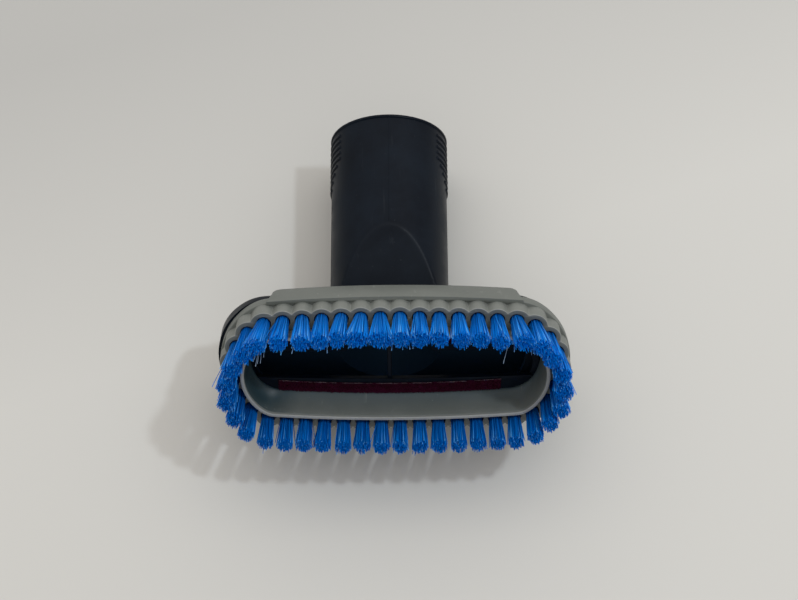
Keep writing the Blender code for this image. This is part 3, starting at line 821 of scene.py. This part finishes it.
# %% The backing strips
STRIPS = [("lint_strip_lower", -34.6, 34.6, False),
          ("lint_strip_upper_left", -34.6, -13.7, True),
          ("lint_strip_upper_right", 13.7, 34.6, True)]
STRIP_FLOOR = -4.7
STRIP_TOP = -3.35
STRIP_STEPS = 60


def strip_edges(x, upper):
    """The edge by the slot and the far edge; the upper strips lie straighter and further back."""
    if upper:
        return 7.4, 10.1 - side_sag(x)
    return 6.8 - x * x / 900, 10.3 - side_sag(x)


def strip_outline(start, stop, upper):
    along = [start + (stop - start) * step / STRIP_STEPS for step in range(STRIP_STEPS + 1)]
    edge = [Vector((x, strip_edges(x, upper)[0])) for x in along]
    edge += [Vector((x, strip_edges(x, upper)[1])) for x in reversed(along)]
    if not upper:
        edge = [Vector((point.x, -point.y)) for point in reversed(edge)]
    return edge


# %% One hair, many times
HAIR_CORNERS = (0.5, 2.6, 4.7)


def hair_points(length, radius):
    """A three-sided hair that stands on z = 0 and ends in a point."""
    corners = [(radius * math.cos(a), radius * math.sin(a)) for a in HAIR_CORNERS]
    low = [(x, y, 0.0) for x, y in corners]
    high = [(x * 0.7, y * 0.7, length * 0.6) for x, y in corners]
    return np.array(low + high + [(0.0, 0.0, length)])


HAIR_FACES = faces_between(2, 3) + [(3, 4, 6), (4, 5, 6), (5, 3, 6), (2, 1, 0)]


def field_of_hairs(name, spots):
    """Hairs at (x, y, z, lean x, lean y, length, radius, shade)."""
    points = []
    faces = []
    shades = []
    for x, y, z, lean_x, lean_y, length, radius, tone in spots:
        base = len(points)
        hair = hair_points(length, radius)
        hair[:, 0] += x + lean_x * hair[:, 2]
        hair[:, 1] += y + lean_y * hair[:, 2]
        hair[:, 2] += z
        points += [tuple(point) for point in hair]
        faces += [tuple(base + corner for corner in face) for face in HAIR_FACES]
        shades += [tone] * len(hair)
    made = from_points(name, points, faces=faces)
    paint(made, "shade", shades)
    return made


# %% Lay the strips
PILE_PER_MM = 64
FRAY_PER_MM = 16
PILE_FOOT = STRIP_TOP - 0.3
FRAYED = 1.5
WELL_FRAYED = 2.0
velvet_pieces = []
for name, start, stop, upper in STRIPS:
    chance = random.Random(len(name) * 7)
    backing = plate(name + "_backing", [strip_outline(start, stop, upper)], STRIP_FLOOR,
                    STRIP_TOP - 0.25, 0.3)
    spots = []
    sign = 1.0 if upper else -1.0
    for _ in range(int((stop - start) * PILE_PER_MM)):
        x = chance.uniform(start + 0.1, stop - 0.1)
        across = chance.uniform(0.03, 0.97)
        inner, outer = strip_edges(x, upper)
        y = inner + across * (outer - inner)
        lean_y = 0.9 * (across - 0.5) + chance.uniform(-0.35, 0.35)
        # The upper strips' hairs get lower shades: painted shade under the upper tufts.
        spots.append((x, y * sign, PILE_FOOT, chance.uniform(-0.4, 0.4), lean_y * sign,
                      chance.uniform(0.32, 0.52), chance.uniform(0.07, 0.11),
                      chance.random() * (0.4 if upper else 1.0)))
    for _ in range(0 if upper else int((stop - start) * FRAY_PER_MM)):
        x = chance.uniform(start + 0.1, stop - 0.1)
        thick = math.sin(x * 1.7) + math.sin(x * 0.61 + 2.0) + chance.gauss(0, 0.6)
        if thick > -0.5:
            y = strip_edges(x, upper)[0] + chance.uniform(-0.08, 0.10)
            spots.append((x, y * sign, PILE_FOOT, chance.uniform(-1.5, 1.5), -0.3 * sign,
                          chance.uniform(0.36, 0.52), chance.uniform(0.045, 0.07),
                          WELL_FRAYED if thick > 1.3 else FRAYED))
    pile = field_of_hairs(name + "_pile", spots)
    for piece in (backing, pile):
        stand(piece)
        smooth(piece, 50)
        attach(piece, "root")
        velvet_pieces.append(piece)
    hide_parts(name)
print("velvet pieces:", len(velvet_pieces))

# %% [markdown]
# ## Bristle tufts
# Each tuft is a bundle of nylon bristles, folded over an anchor and driven into its hole. It
# leaves the hole tight and flares to a trimmed, flat end. Hair curves would do for a picture, but
# a library part needs a mesh. So one bristle is a thin three-sided prism in four lengths, and a
# tuft is that bristle set down on a packed disc, each bent to its own place in a wider disc at
# the top. A dark cone in the middle stands for the bristles that nobody sees.

# %% One bristle
TUFT_LENGTH = 15.1
ROOT_DISC = 1.86
TIP_DISC = 2.95
LOW_TIP_DISC = 2.45
BRISTLE_RADIUS = 0.125
BRISTLE_COUNT = 240
GOLDEN_ANGLE = 2.399963
ROOT_HEIGHT = -1.0
STEPS = (-0.25, 0.25, 0.6, 0.85, 1.0)
RISES = [max(step, 0.0) for step in STEPS]
LAST = (len(STEPS) - 1) * 3
BRISTLE_FACES = faces_between(len(STEPS), 3) + [(LAST, LAST + 1, LAST + 2), (2, 1, 0)]


def sunflower(count, chance):
    """Evenly packed spots in a unit disc, each a little off its place."""
    spots = []
    for number in range(count):
        reach = math.sqrt((number + 0.5) / count)
        angle = number * GOLDEN_ANGLE + chance.uniform(-0.25, 0.25)
        spots.append((reach * math.cos(angle), reach * math.sin(angle)))
    return spots


def height_at(step, length):
    """Height of one step of a bristle; the first lies down in the hole."""
    return ROOT_HEIGHT if step < 0.0 else step * length


def bristle(chance, root, tip, length, radius):
    """Points of one bristle from its root, bent out to its tip, in the face frame."""
    turn = chance.uniform(0, 2 * math.pi)
    wave = Vector((chance.uniform(-1, 1), chance.uniform(-1, 1))) * 0.10
    points = []
    for step, rise in zip(STEPS, RISES):
        middle = root.lerp(tip, rise ** 0.9) + wave * math.sin(math.pi * rise)
        for side in range(3):
            angle = turn + 2 * math.pi * side / 3
            slant = 0.10 * math.cos(angle + turn) if step == 1.0 else 0.0
            points.append((middle.x + radius * math.cos(angle), middle.y + radius * math.sin(angle),
                           height_at(step, length) + slant))
    return points


# %% One tuft
CORE_SIDES = 12
CORE_SHARE = 0.74
CORE_SHORT = 2.0


def core(centre, splay, spread):
    """A plain cone in the middle of a tuft."""
    points = []
    for step, rise in zip(STEPS, RISES):
        reach = ROOT_DISC + (spread - ROOT_DISC) * rise
        for side in range(CORE_SIDES):
            angle = 2 * math.pi * side / CORE_SIDES
            outward = Vector((math.cos(angle), math.sin(angle)))
            spot = centre + splay * rise + outward * reach * CORE_SHARE
            points.append((spot.x, spot.y, height_at(step, TUFT_LENGTH - CORE_SHORT)))
    top = len(points) - CORE_SIDES
    faces = [tuple(reversed(range(CORE_SIDES))), tuple(range(top, len(points)))]
    return points, faces + faces_between(len(STEPS), CORE_SIDES)


def plan_bristles(chance, centre, outward, splay, spread, flare):
    """Root, tip, length, radius and shade of each bristle; frayed ones stray, cut ends are pale."""
    # Upper and right tufts get higher shades: painted light, where more light falls on them.
    painted_light_lift = 0.34 * max(0.0, outward.y) + 0.15 * max(0.0, outward.x)
    root_disc = ROOT_DISC - 0.08 * max(0.0, -outward.y)
    planned = []
    for u, v in sunflower(BRISTLE_COUNT, chance):
        root = centre + Vector((u, v)) * root_disc
        rough = Vector((chance.gauss(0, 1), chance.gauss(0, 1))) * 0.20
        if chance.random() < 0.03:
            rough *= 4.0
        tip = centre + splay + Vector((u * flare, v)) * spread + rough
        edge = (u * u + v * v) ** 2
        length = TUFT_LENGTH - 0.15 + chance.uniform(-0.18, 0.16) - chance.uniform(0.2, 1.1) * edge
        shade = painted_light_lift + chance.uniform(0.0, 0.45)
        if chance.random() < 0.05 + 0.22 * edge:
            shade = 0.95
        planned.append((root, tip, length, BRISTLE_RADIUS, shade))
    return planned


def make_tuft(index, flare, lean_x, strays):
    """A tuft at its hole; strays are extra bristles, each with its own tip, length and shade."""
    chance = random.Random(100 + index)
    centre, outward = oval_point(TUFT_LINE, index / TUFT_COUNT)
    lean = Vector((chance.uniform(-1, 1), chance.uniform(-1, 1))) * 0.28
    splay = outward * 0.5 + lean + Vector((lean_x, 0.0))
    spread = TIP_DISC + (LOW_TIP_DISC - TIP_DISC) * max(0.0, -outward.y)
    points, faces = core(centre, splay, spread)
    along = [rise * 0.9 for rise in RISES for _ in range(CORE_SIDES)]
    shades = [0.15] * len(points)
    planned = plan_bristles(chance, centre, outward, splay, spread, flare)
    for tip_x, tip_y, length, shade in strays:
        tip = Vector((tip_x, tip_y))
        root = centre + (tip - centre).normalized() * ROOT_DISC * 0.9
        planned.append((root, tip, length, BRISTLE_RADIUS * 0.9, shade))
    for root, tip, length, radius, shade in planned:
        base = len(points)
        points += bristle(chance, root, tip, length, radius)
        faces += [tuple(base + corner for corner in face) for face in BRISTLE_FACES]
        along += [rise for rise in RISES for _ in range(3)]
        shades += [shade] * (3 * len(STEPS))
    made = from_points("bristles_%02d" % (index + 1), points, faces=faces)
    paint(made, "along", along)
    paint(made, "shade", shades)
    stand(made, FRAME_SHIFT)
    smooth(made, 60)
    return made


# %% [markdown]
# ## The row of tufts
# Use has given the tufts habits: some flare more and some lean, mostly along the worn upper side.
# A few bent bristles stand out from them, bleached where they were folded. A random rule would
# scatter both evenly, so they are listed one by one under the number of their tuft: a habit is a
# flare and a lean to the right, and a stray is the place of its tip, its length and its shade.

# %% Set all the tufts
UPRIGHT = (1.0, 0.0)
HABITS = {3: (1.05, 0.6), 4: (1.08, 1.0), 7: (1.0, 0.5), 11: (1.35, 0.0), 12: (1.35, -1.0),
          13: (0.85, -0.7), 16: (0.95, -0.8), 17: (1.15, -1.2)}
STRAYS = {17: [(-41.5, 9.3, 13.0, 2.0), (-40.9, 10.2, 13.0, 2.0), (-40.0, 10.2, 13.0, 2.0),
               (-38.9, 12.4, 13.2, 2.0), (-42.1, 11.0, 13.4, 1.5), (-42.9, 12.0, 13.6, 1.5),
               (-43.6, 12.6, 13.8, 1.4), (-41.6, 12.2, 14.0, 1.3)],
          4: [(32.1, 9.6, 13.0, 2.0), (35.2, 14.4, 14.4, 1.3)],
          3: [(40.4, 12.7, 13.4, 1.8), (41.3, 13.0, 13.8, 1.4), (42.2, 12.6, 13.4, 1.3)],
          9: [(2.9, 17.4, 14.8, 1.6), (5.3, 15.8, 14.6, 1.3)],
          10: [(4.4, 15.6, 14.6, 1.3), (-1.0, 15.2, 14.6, 1.2)],
          14: [(-20.0, 14.6, 14.8, 1.4)], 15: [(-30.4, 14.4, 14.6, 1.5)]}
tufts = []
for index in range(TUFT_COUNT):
    tuft = make_tuft(index, *HABITS.get(index, UPRIGHT), STRAYS.get(index, ()))
    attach(tuft, "root")
    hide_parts("tuft_%02d" % (index + 1))
    tufts.append(tuft)
print("tufts:", len(tufts), "faces each:", len(tufts[0].data.polygons))

# %% [markdown]
# ## Wiring a material
# A material is a network of nodes. In the shader editor each one is added, set and linked by
# hand. Here a few helpers do that, so a finish reads from top to bottom like a recipe.

# %% Helpers for nodes
def connect(tree, made, inputs):
    """Give a node's inputs their values, each a plain one or another node's output."""
    for socket, value in inputs.items():
        if isinstance(value, bpy.types.NodeSocket):
            tree.links.new(value, made.inputs[socket])
        else:
            made.inputs[socket].default_value = value


def add_node(tree, kind, inputs, **settings):
    made = tree.nodes.new(kind)
    for setting, value in settings.items():
        setattr(made, setting, value)
    connect(tree, made, inputs)
    return made


def calculate(tree, operation, a, b=0.0):
    return add_node(tree, "ShaderNodeMath", {0: a, 1: b}, operation=operation).outputs[0]


def calculate_vector(tree, operation, *values):
    """A vector, or for a length or a dot product a number."""
    made = add_node(tree, "ShaderNodeVectorMath", dict(enumerate(values)), operation=operation)
    return made.outputs["Value" if operation in ("LENGTH", "DOT_PRODUCT") else "Vector"]


def noise(tree, place, scale, detail, roughness=0.5):
    inputs = {"Vector": place, "Scale": scale, "Detail": detail, "Roughness": roughness}
    return add_node(tree, "ShaderNodeTexNoise", inputs).outputs["Fac"]


def remap(tree, value, low, high, to_low=0.0, to_high=1.0):
    """Turn the range from low to high into another, and hold it there."""
    inputs = {"Value": value, "From Min": low, "From Max": high, "To Min": to_low, "To Max": to_high}
    return add_node(tree, "ShaderNodeMapRange", inputs).outputs["Result"]


def mix_colours(tree, a, b, share):
    """Mix two colours; a share of 1 gives the second."""
    inputs = {0: share}
    for socket, colour in ((6, a), (7, b)):
        inputs[socket] = (*colour, 1.0) if isinstance(colour, tuple) else colour
    return add_node(tree, "ShaderNodeMix", inputs, data_type="RGBA").outputs[2]


def painted(tree, name):
    """A number that was painted on the mesh; where none was, it is 0."""
    return add_node(tree, "ShaderNodeAttribute", {}, attribute_name=name).outputs["Fac"]


def new_group(name, outputs):
    """A node group that reads a place and gives some numbers."""
    group = bpy.data.node_groups.new(name, "ShaderNodeTree")
    group.interface.new_socket(name="Place", in_out="INPUT", socket_type="NodeSocketVector")
    for label in outputs:
        group.interface.new_socket(name=label, in_out="OUTPUT", socket_type="NodeSocketFloat")
    place = group.nodes.new("NodeGroupInput").outputs["Place"]
    return group, place, group.nodes.new("NodeGroupOutput")


# %% [markdown]
# ## Shared surface effects
# Moulded plastic is never one colour: it has a fine grain, faint clouds, dust and rubbed marks.
# Each could be painted in every material anew. Two node groups give them once, as masks and
# heights, and each plastic uses them with its own strength. They read Object coordinates, in
# metres, so the grain keeps its real size.

# %% Build the grain and the marks groups
grain_group, place, grain_out = new_group("moulded_grain", ["Height", "Clouds"])
connect(grain_group, grain_out, {"Height": noise(grain_group, place, 2600.0, 3.0),
                                 "Clouds": noise(grain_group, place, 70.0, 5.0, 0.65)})

marks_group, place, marks_out = new_group("dust_and_marks", ["Dust", "Marks"])
specks = noise(marks_group, place, 900.0, 2.0, 0.7)
stretched = add_node(marks_group, "ShaderNodeMapping", {
    "Vector": place, "Scale": (1.0, 0.08, 1.0), "Rotation": (0.2, 0.1, 0.9)}).outputs["Vector"]
lines = noise(marks_group, stretched, 700.0, 3.0, 0.6)
connect(marks_group, marks_out, {"Dust": remap(marks_group, specks, 0.70, 0.78),
                                 "Marks": remap(marks_group, lines, 0.64, 0.74)})
print("shared groups:", grain_group.name, marks_group.name)

# %% [markdown]
# ## The painted crease highlight
# The crease round the neck's flat gets a painted highlight, a lighter line brightest just right of
# its top, and the flat itself a very slight painted sheen. Painted points would be too coarse for a
# line 0.2 mm wide. The crease is where the round and the flat meet, so the mask asks how far a
# place is from each of them, and adds the two distances.

# %% Mask the crease by distance
NECK_AXIS = (TO_TABLE @ Matrix.Translation(NECK_START * MM)).translation
FLAT_NORMAL = (0.0, -math.sin(FLAT_ANGLE), math.cos(FLAT_ANGLE))
FLAT_HEIGHT = (NECK_RADIUS - FLAT_START * FLAT_SLOPE) * math.cos(FLAT_ANGLE)

crease_highlight_group, place, crease_out = new_group("painted_crease_highlight", ["PaintedHighlight"])
on_axis = calculate_vector(crease_highlight_group, "SUBTRACT", place, NECK_AXIS)
flattened = calculate_vector(crease_highlight_group, "MULTIPLY", on_axis, (1.0, 0.0, 1.0))
from_axis = calculate_vector(crease_highlight_group, "LENGTH", flattened)
over_flat = calculate_vector(crease_highlight_group, "DOT_PRODUCT", on_axis, FLAT_NORMAL)
off_round, off_flat = [
    calculate(crease_highlight_group, "ABSOLUTE", calculate(crease_highlight_group, "SUBTRACT", size, target * MM))
    for size, target in ((from_axis, NECK_RADIUS), (over_flat, FLAT_HEIGHT))]
off_both = calculate(crease_highlight_group, "ADD", off_round, off_flat)
across = add_node(crease_highlight_group, "ShaderNodeSeparateXYZ", {0: on_axis}).outputs["X"]
strength = calculate(crease_highlight_group, "MULTIPLY", remap(crease_highlight_group, across, 0.0030, 0.0052, 0.35, 1.15),
                     remap(crease_highlight_group, across, 0.0085, 0.0115, 1.0, 0.45))
line = calculate(crease_highlight_group, "MULTIPLY", remap(crease_highlight_group, off_both, 0.00010, 0.00021, 1.0, 0.0),
                 strength)
# The flat itself gets a very slight painted sheen.
flat_painted_sheen = remap(crease_highlight_group, off_flat, 0.00015, 0.00040, 0.10, 0.0)
connect(crease_highlight_group, crease_out, {"PaintedHighlight": calculate(crease_highlight_group, "ADD", line, flat_painted_sheen)})
print("flat above the neck's axis in mm:", round(FLAT_HEIGHT, 2))

# %% [markdown]
# ## The two plastics
# Black and grey are the same idea with other numbers: a base colour that drifts a little with the
# clouds, a colour painted on the inside (painted shade on the grey, a lighter, bluer painted light
# on the black), a lighter one for dust and marks that also paints highlights on rims and on the
# neck's crease, and a bump from the grain. Roughness drifts with the clouds too, and rises where a
# piece is painted matte.

# %% Make the moulded plastics
def start_material(name):
    made = bpy.data.materials.new(name)
    made.use_nodes = True
    tree = made.node_tree
    place = tree.nodes.new("ShaderNodeTexCoord").outputs["Object"]
    return made, tree, tree.nodes["Principled BSDF"], place


def use_group(tree, group, place):
    """Put a node group in a material, and give what comes out of it."""
    made = add_node(tree, "ShaderNodeGroup", {}, node_tree=group)
    connect(tree, made, {"Place": place})
    return made.outputs


def moulded(name, dark, light, inner_painted_light_and_shade, dust_and_painted_light, rough, shine, dust, marks, bump_mm, crease_highlight=0.0):
    """One of the plastics; dust, marks and the crease's painted highlight say how strongly each shows.
    """
    made, tree, shader, place = start_material(name)
    grained = use_group(tree, grain_group, place)
    marked = use_group(tree, marks_group, place)
    masks = [(marked["Dust"], dust), (marked["Marks"], marks)]
    if crease_highlight:
        masks.insert(0, (use_group(tree, crease_highlight_group, place)["PaintedHighlight"], crease_highlight))
    colour = mix_colours(tree, dark, light, remap(tree, grained["Clouds"], 0.32, 0.68))
    # Painted shade on the grey's inside, painted light on the black's inside.
    colour = mix_colours(tree, colour, inner_painted_light_and_shade, painted(tree, "inside"))
    # Painted light and highlights on rims, walls and the shelf.
    colour = mix_colours(tree, colour, dust_and_painted_light, painted(tree, "painted_light"))
    # Real dust and marks, and the crease's painted highlight.
    for mask, amount in masks:
        colour = mix_colours(tree, colour, dust_and_painted_light, calculate(tree, "MULTIPLY", mask, amount))
    cloudy = remap(tree, grained["Clouds"], 0.3, 0.7, rough - 0.11, rough + 0.11)
    duller = calculate(tree, "MULTIPLY", painted(tree, "matte"), 0.5)
    bump = add_node(tree, "ShaderNodeBump", {"Height": grained["Height"], "Strength": 1.0,
                                             "Distance": bump_mm * MM})
    connect(tree, shader, {"Base Color": colour, "Roughness": calculate(tree, "ADD", cloudy, duller),
                           "Specular IOR Level": shine, "Normal": bump.outputs["Normal"]})
    return made


def dress(pieces, material):
    """Give each piece one material and no other."""
    for piece in pieces:
        piece.data.materials.clear()
        piece.data.materials.append(material)


black_plastic = moulded("black_plastic", dark=(0.0011, 0.0034, 0.0082), light=(0.0042, 0.0084, 0.0158),
                        inner_painted_light_and_shade=(0.020, 0.052, 0.098), dust_and_painted_light=(0.045, 0.052, 0.06), rough=0.40,
                        shine=0.10, dust=0.35, marks=0.12, bump_mm=0.012, crease_highlight=0.60)
grey_plastic = moulded("grey_plastic", dark=(0.112, 0.126, 0.118), light=(0.135, 0.149, 0.140),
                       inner_painted_light_and_shade=(0.022, 0.046, 0.057), dust_and_painted_light=(0.33, 0.345, 0.335), rough=0.46,
                       shine=0.5, dust=0.35, marks=0.20, bump_mm=0.014)
dress([nozzle], black_plastic)
dress([brush_frame], grey_plastic)
print("plastics:", black_plastic.name, grey_plastic.name)

# %% [markdown]
# ## Nylon
# A bristle is bright along its sides, painted darker towards its root as shade among its
# neighbours, and paler at its cut end. One colour for all would turn a tuft into a block. So each
# mesh carries two numbers: "along" says how far up the bristle a point is, and "shade" is the
# bristle's own tone, raised on the upper and right tufts as painted light. A shade over 1 marks a
# bristle that is bleached.

# %% Make the nylon
nylon, tree, shader, _ = start_material("blue_nylon")
along = painted(tree, "along")
shade = painted(tree, "shade")
colour = mix_colours(tree, (0.0, 0.120, 0.50), (0.001, 0.285, 0.93), remap(tree, shade, 0.0, 0.8))
# Painted shade towards the root, among the neighbours.
colour = mix_colours(tree, (0.0, 0.095, 0.42), colour, remap(tree, along, 0.0, 0.8))
cut_end = calculate(tree, "MULTIPLY", remap(tree, along, 0.55, 1.0, 0.06, 0.8),
                    remap(tree, shade, 0.82, 0.92))
colour = mix_colours(tree, colour, (0.14, 0.44, 0.80), cut_end)
colour = mix_colours(tree, colour, (0.46, 0.56, 0.64), remap(tree, shade, 1.0, 2.0, 0.0, 0.9))
connect(tree, shader, {"Base Color": colour, "Roughness": 0.42, "Specular IOR Level": 0.07})
dress(tufts, nylon)
print("tufts in nylon:", len(tufts))

# %% [markdown]
# ## Velvet
# Pile lights up edge-on, so the velvet has a little sheen besides its own hairs. Its colour
# shifts in soft patches, and from hair to hair by the shade that each one carries. The upper
# strips' hairs carry lower shades, as painted shade from the tufts above them. A shade over 1
# is a frayed end and nearly white.

# %% Make the velvet
velvet, tree, shader, place = start_material("crimson_velvet")
shade = painted(tree, "shade")
patches = remap(tree, noise(tree, place, 420.0, 3.0, 0.6), 0.35, 0.65)
colour = mix_colours(tree, (0.022, 0.0022, 0.0085), (0.072, 0.0062, 0.0285), shade)
colour = mix_colours(tree, colour, (0.042, 0.0041, 0.0185), patches)
colour = mix_colours(tree, colour, (0.42, 0.35, 0.38), remap(tree, shade, 1.0, 2.0, 0.0, 0.85))
connect(tree, shader, {"Base Color": colour, "Roughness": 0.85, "Specular IOR Level": 0.05,
                       "Sheen Weight": 0.02, "Sheen Roughness": 0.4,
                       "Sheen Tint": (0.55, 0.16, 0.24, 1.0)})
dress(velvet_pieces, velvet)
print("pieces in velvet:", len(velvet_pieces))

# %% [markdown]
# ## The table
# The brush lies on a plain pale table. Its far side is a little darker than its near side, and
# lamps alone wouldn't give that without harder shadows, so that darkening is painted shade: the
# colour itself fades with distance.

# %% Lay the table
FADE_DIRECTION = (-0.35, 1.0, 0.0)
floor = primitive(bpy.ops.mesh.primitive_plane_add, size=6.0)
floor.name = "floor"
paper, tree, shader, place = start_material("pale_table")
distance = calculate_vector(tree, "DOT_PRODUCT", place, FADE_DIRECTION)
# Painted shade: the colour darkens towards the far left.
colour = mix_colours(tree, (0.61, 0.614, 0.602), (0.49, 0.495, 0.490),
                     remap(tree, distance, 0.035, 0.165))
connect(tree, shader, {"Base Color": colour, "Roughness": 0.8})
dress([floor], paper)
print("table across in m:", round(floor.dimensions.x, 1))

# %% [markdown]
# ## The light
# One soft lamp stands high on the right, as a window would, and throws the shadows. A pale world
# fills the shade. It is brighter above than at the sides, and brightest above and behind, which
# is what the neck and the bristles reflect.

# %% Hang the lamp
LAMP_BEARING = math.radians(85.0)
LAMP_HEIGHT = math.radians(62.0)
LAMP_DISTANCE = 1.1
LAMP_SIZE = 0.07
LAMP_POWER = 2.5
LAMP_COLOUR = (0.88, 0.95, 1.0)
LIT_PLACE = Vector((0.0, 0.0, 0.02))

direction = Vector((math.cos(LAMP_HEIGHT) * math.sin(LAMP_BEARING),
                    math.cos(LAMP_HEIGHT) * math.cos(LAMP_BEARING), math.sin(LAMP_HEIGHT)))
lamp_data = bpy.data.lights.new("window", "AREA")
lamp_data.shape = "DISK"
lamp_data.size = LAMP_SIZE
lamp_data.energy = LAMP_POWER
lamp_data.color = LAMP_COLOUR
lamp = bpy.data.objects.new("window", lamp_data)
lamp.location = LIT_PLACE + direction * LAMP_DISTANCE
lamp.rotation_euler = (-direction).to_track_quat("-Z", "Y").to_euler()
bpy.context.collection.objects.link(lamp)
print("lamp above the table in m:", round(lamp.location.z, 2))

# %% Set the world
WORLD_COLOUR = (1.0, 0.955, 0.90, 1.0)
ABOVE_AND_BEHIND = (0.0, 0.8, 0.6)

world = bpy.data.worlds.new("room")
bpy.context.scene.world = world
world.use_nodes = True
tree = world.node_tree
heading = tree.nodes.new("ShaderNodeTexCoord").outputs["Generated"]
upward = add_node(tree, "ShaderNodeSeparateXYZ", {0: heading}).outputs["Z"]
backward = calculate_vector(tree, "DOT_PRODUCT", heading, ABOVE_AND_BEHIND)
brightness = calculate(tree, "ADD", remap(tree, upward, 0.0, 1.0, 0.46, 0.75),
                       remap(tree, backward, 0.3, 1.0, 0.0, 0.65))
connect(tree, tree.nodes["Background"], {"Color": WORLD_COLOUR, "Strength": brightness})
print("world:", world.name)
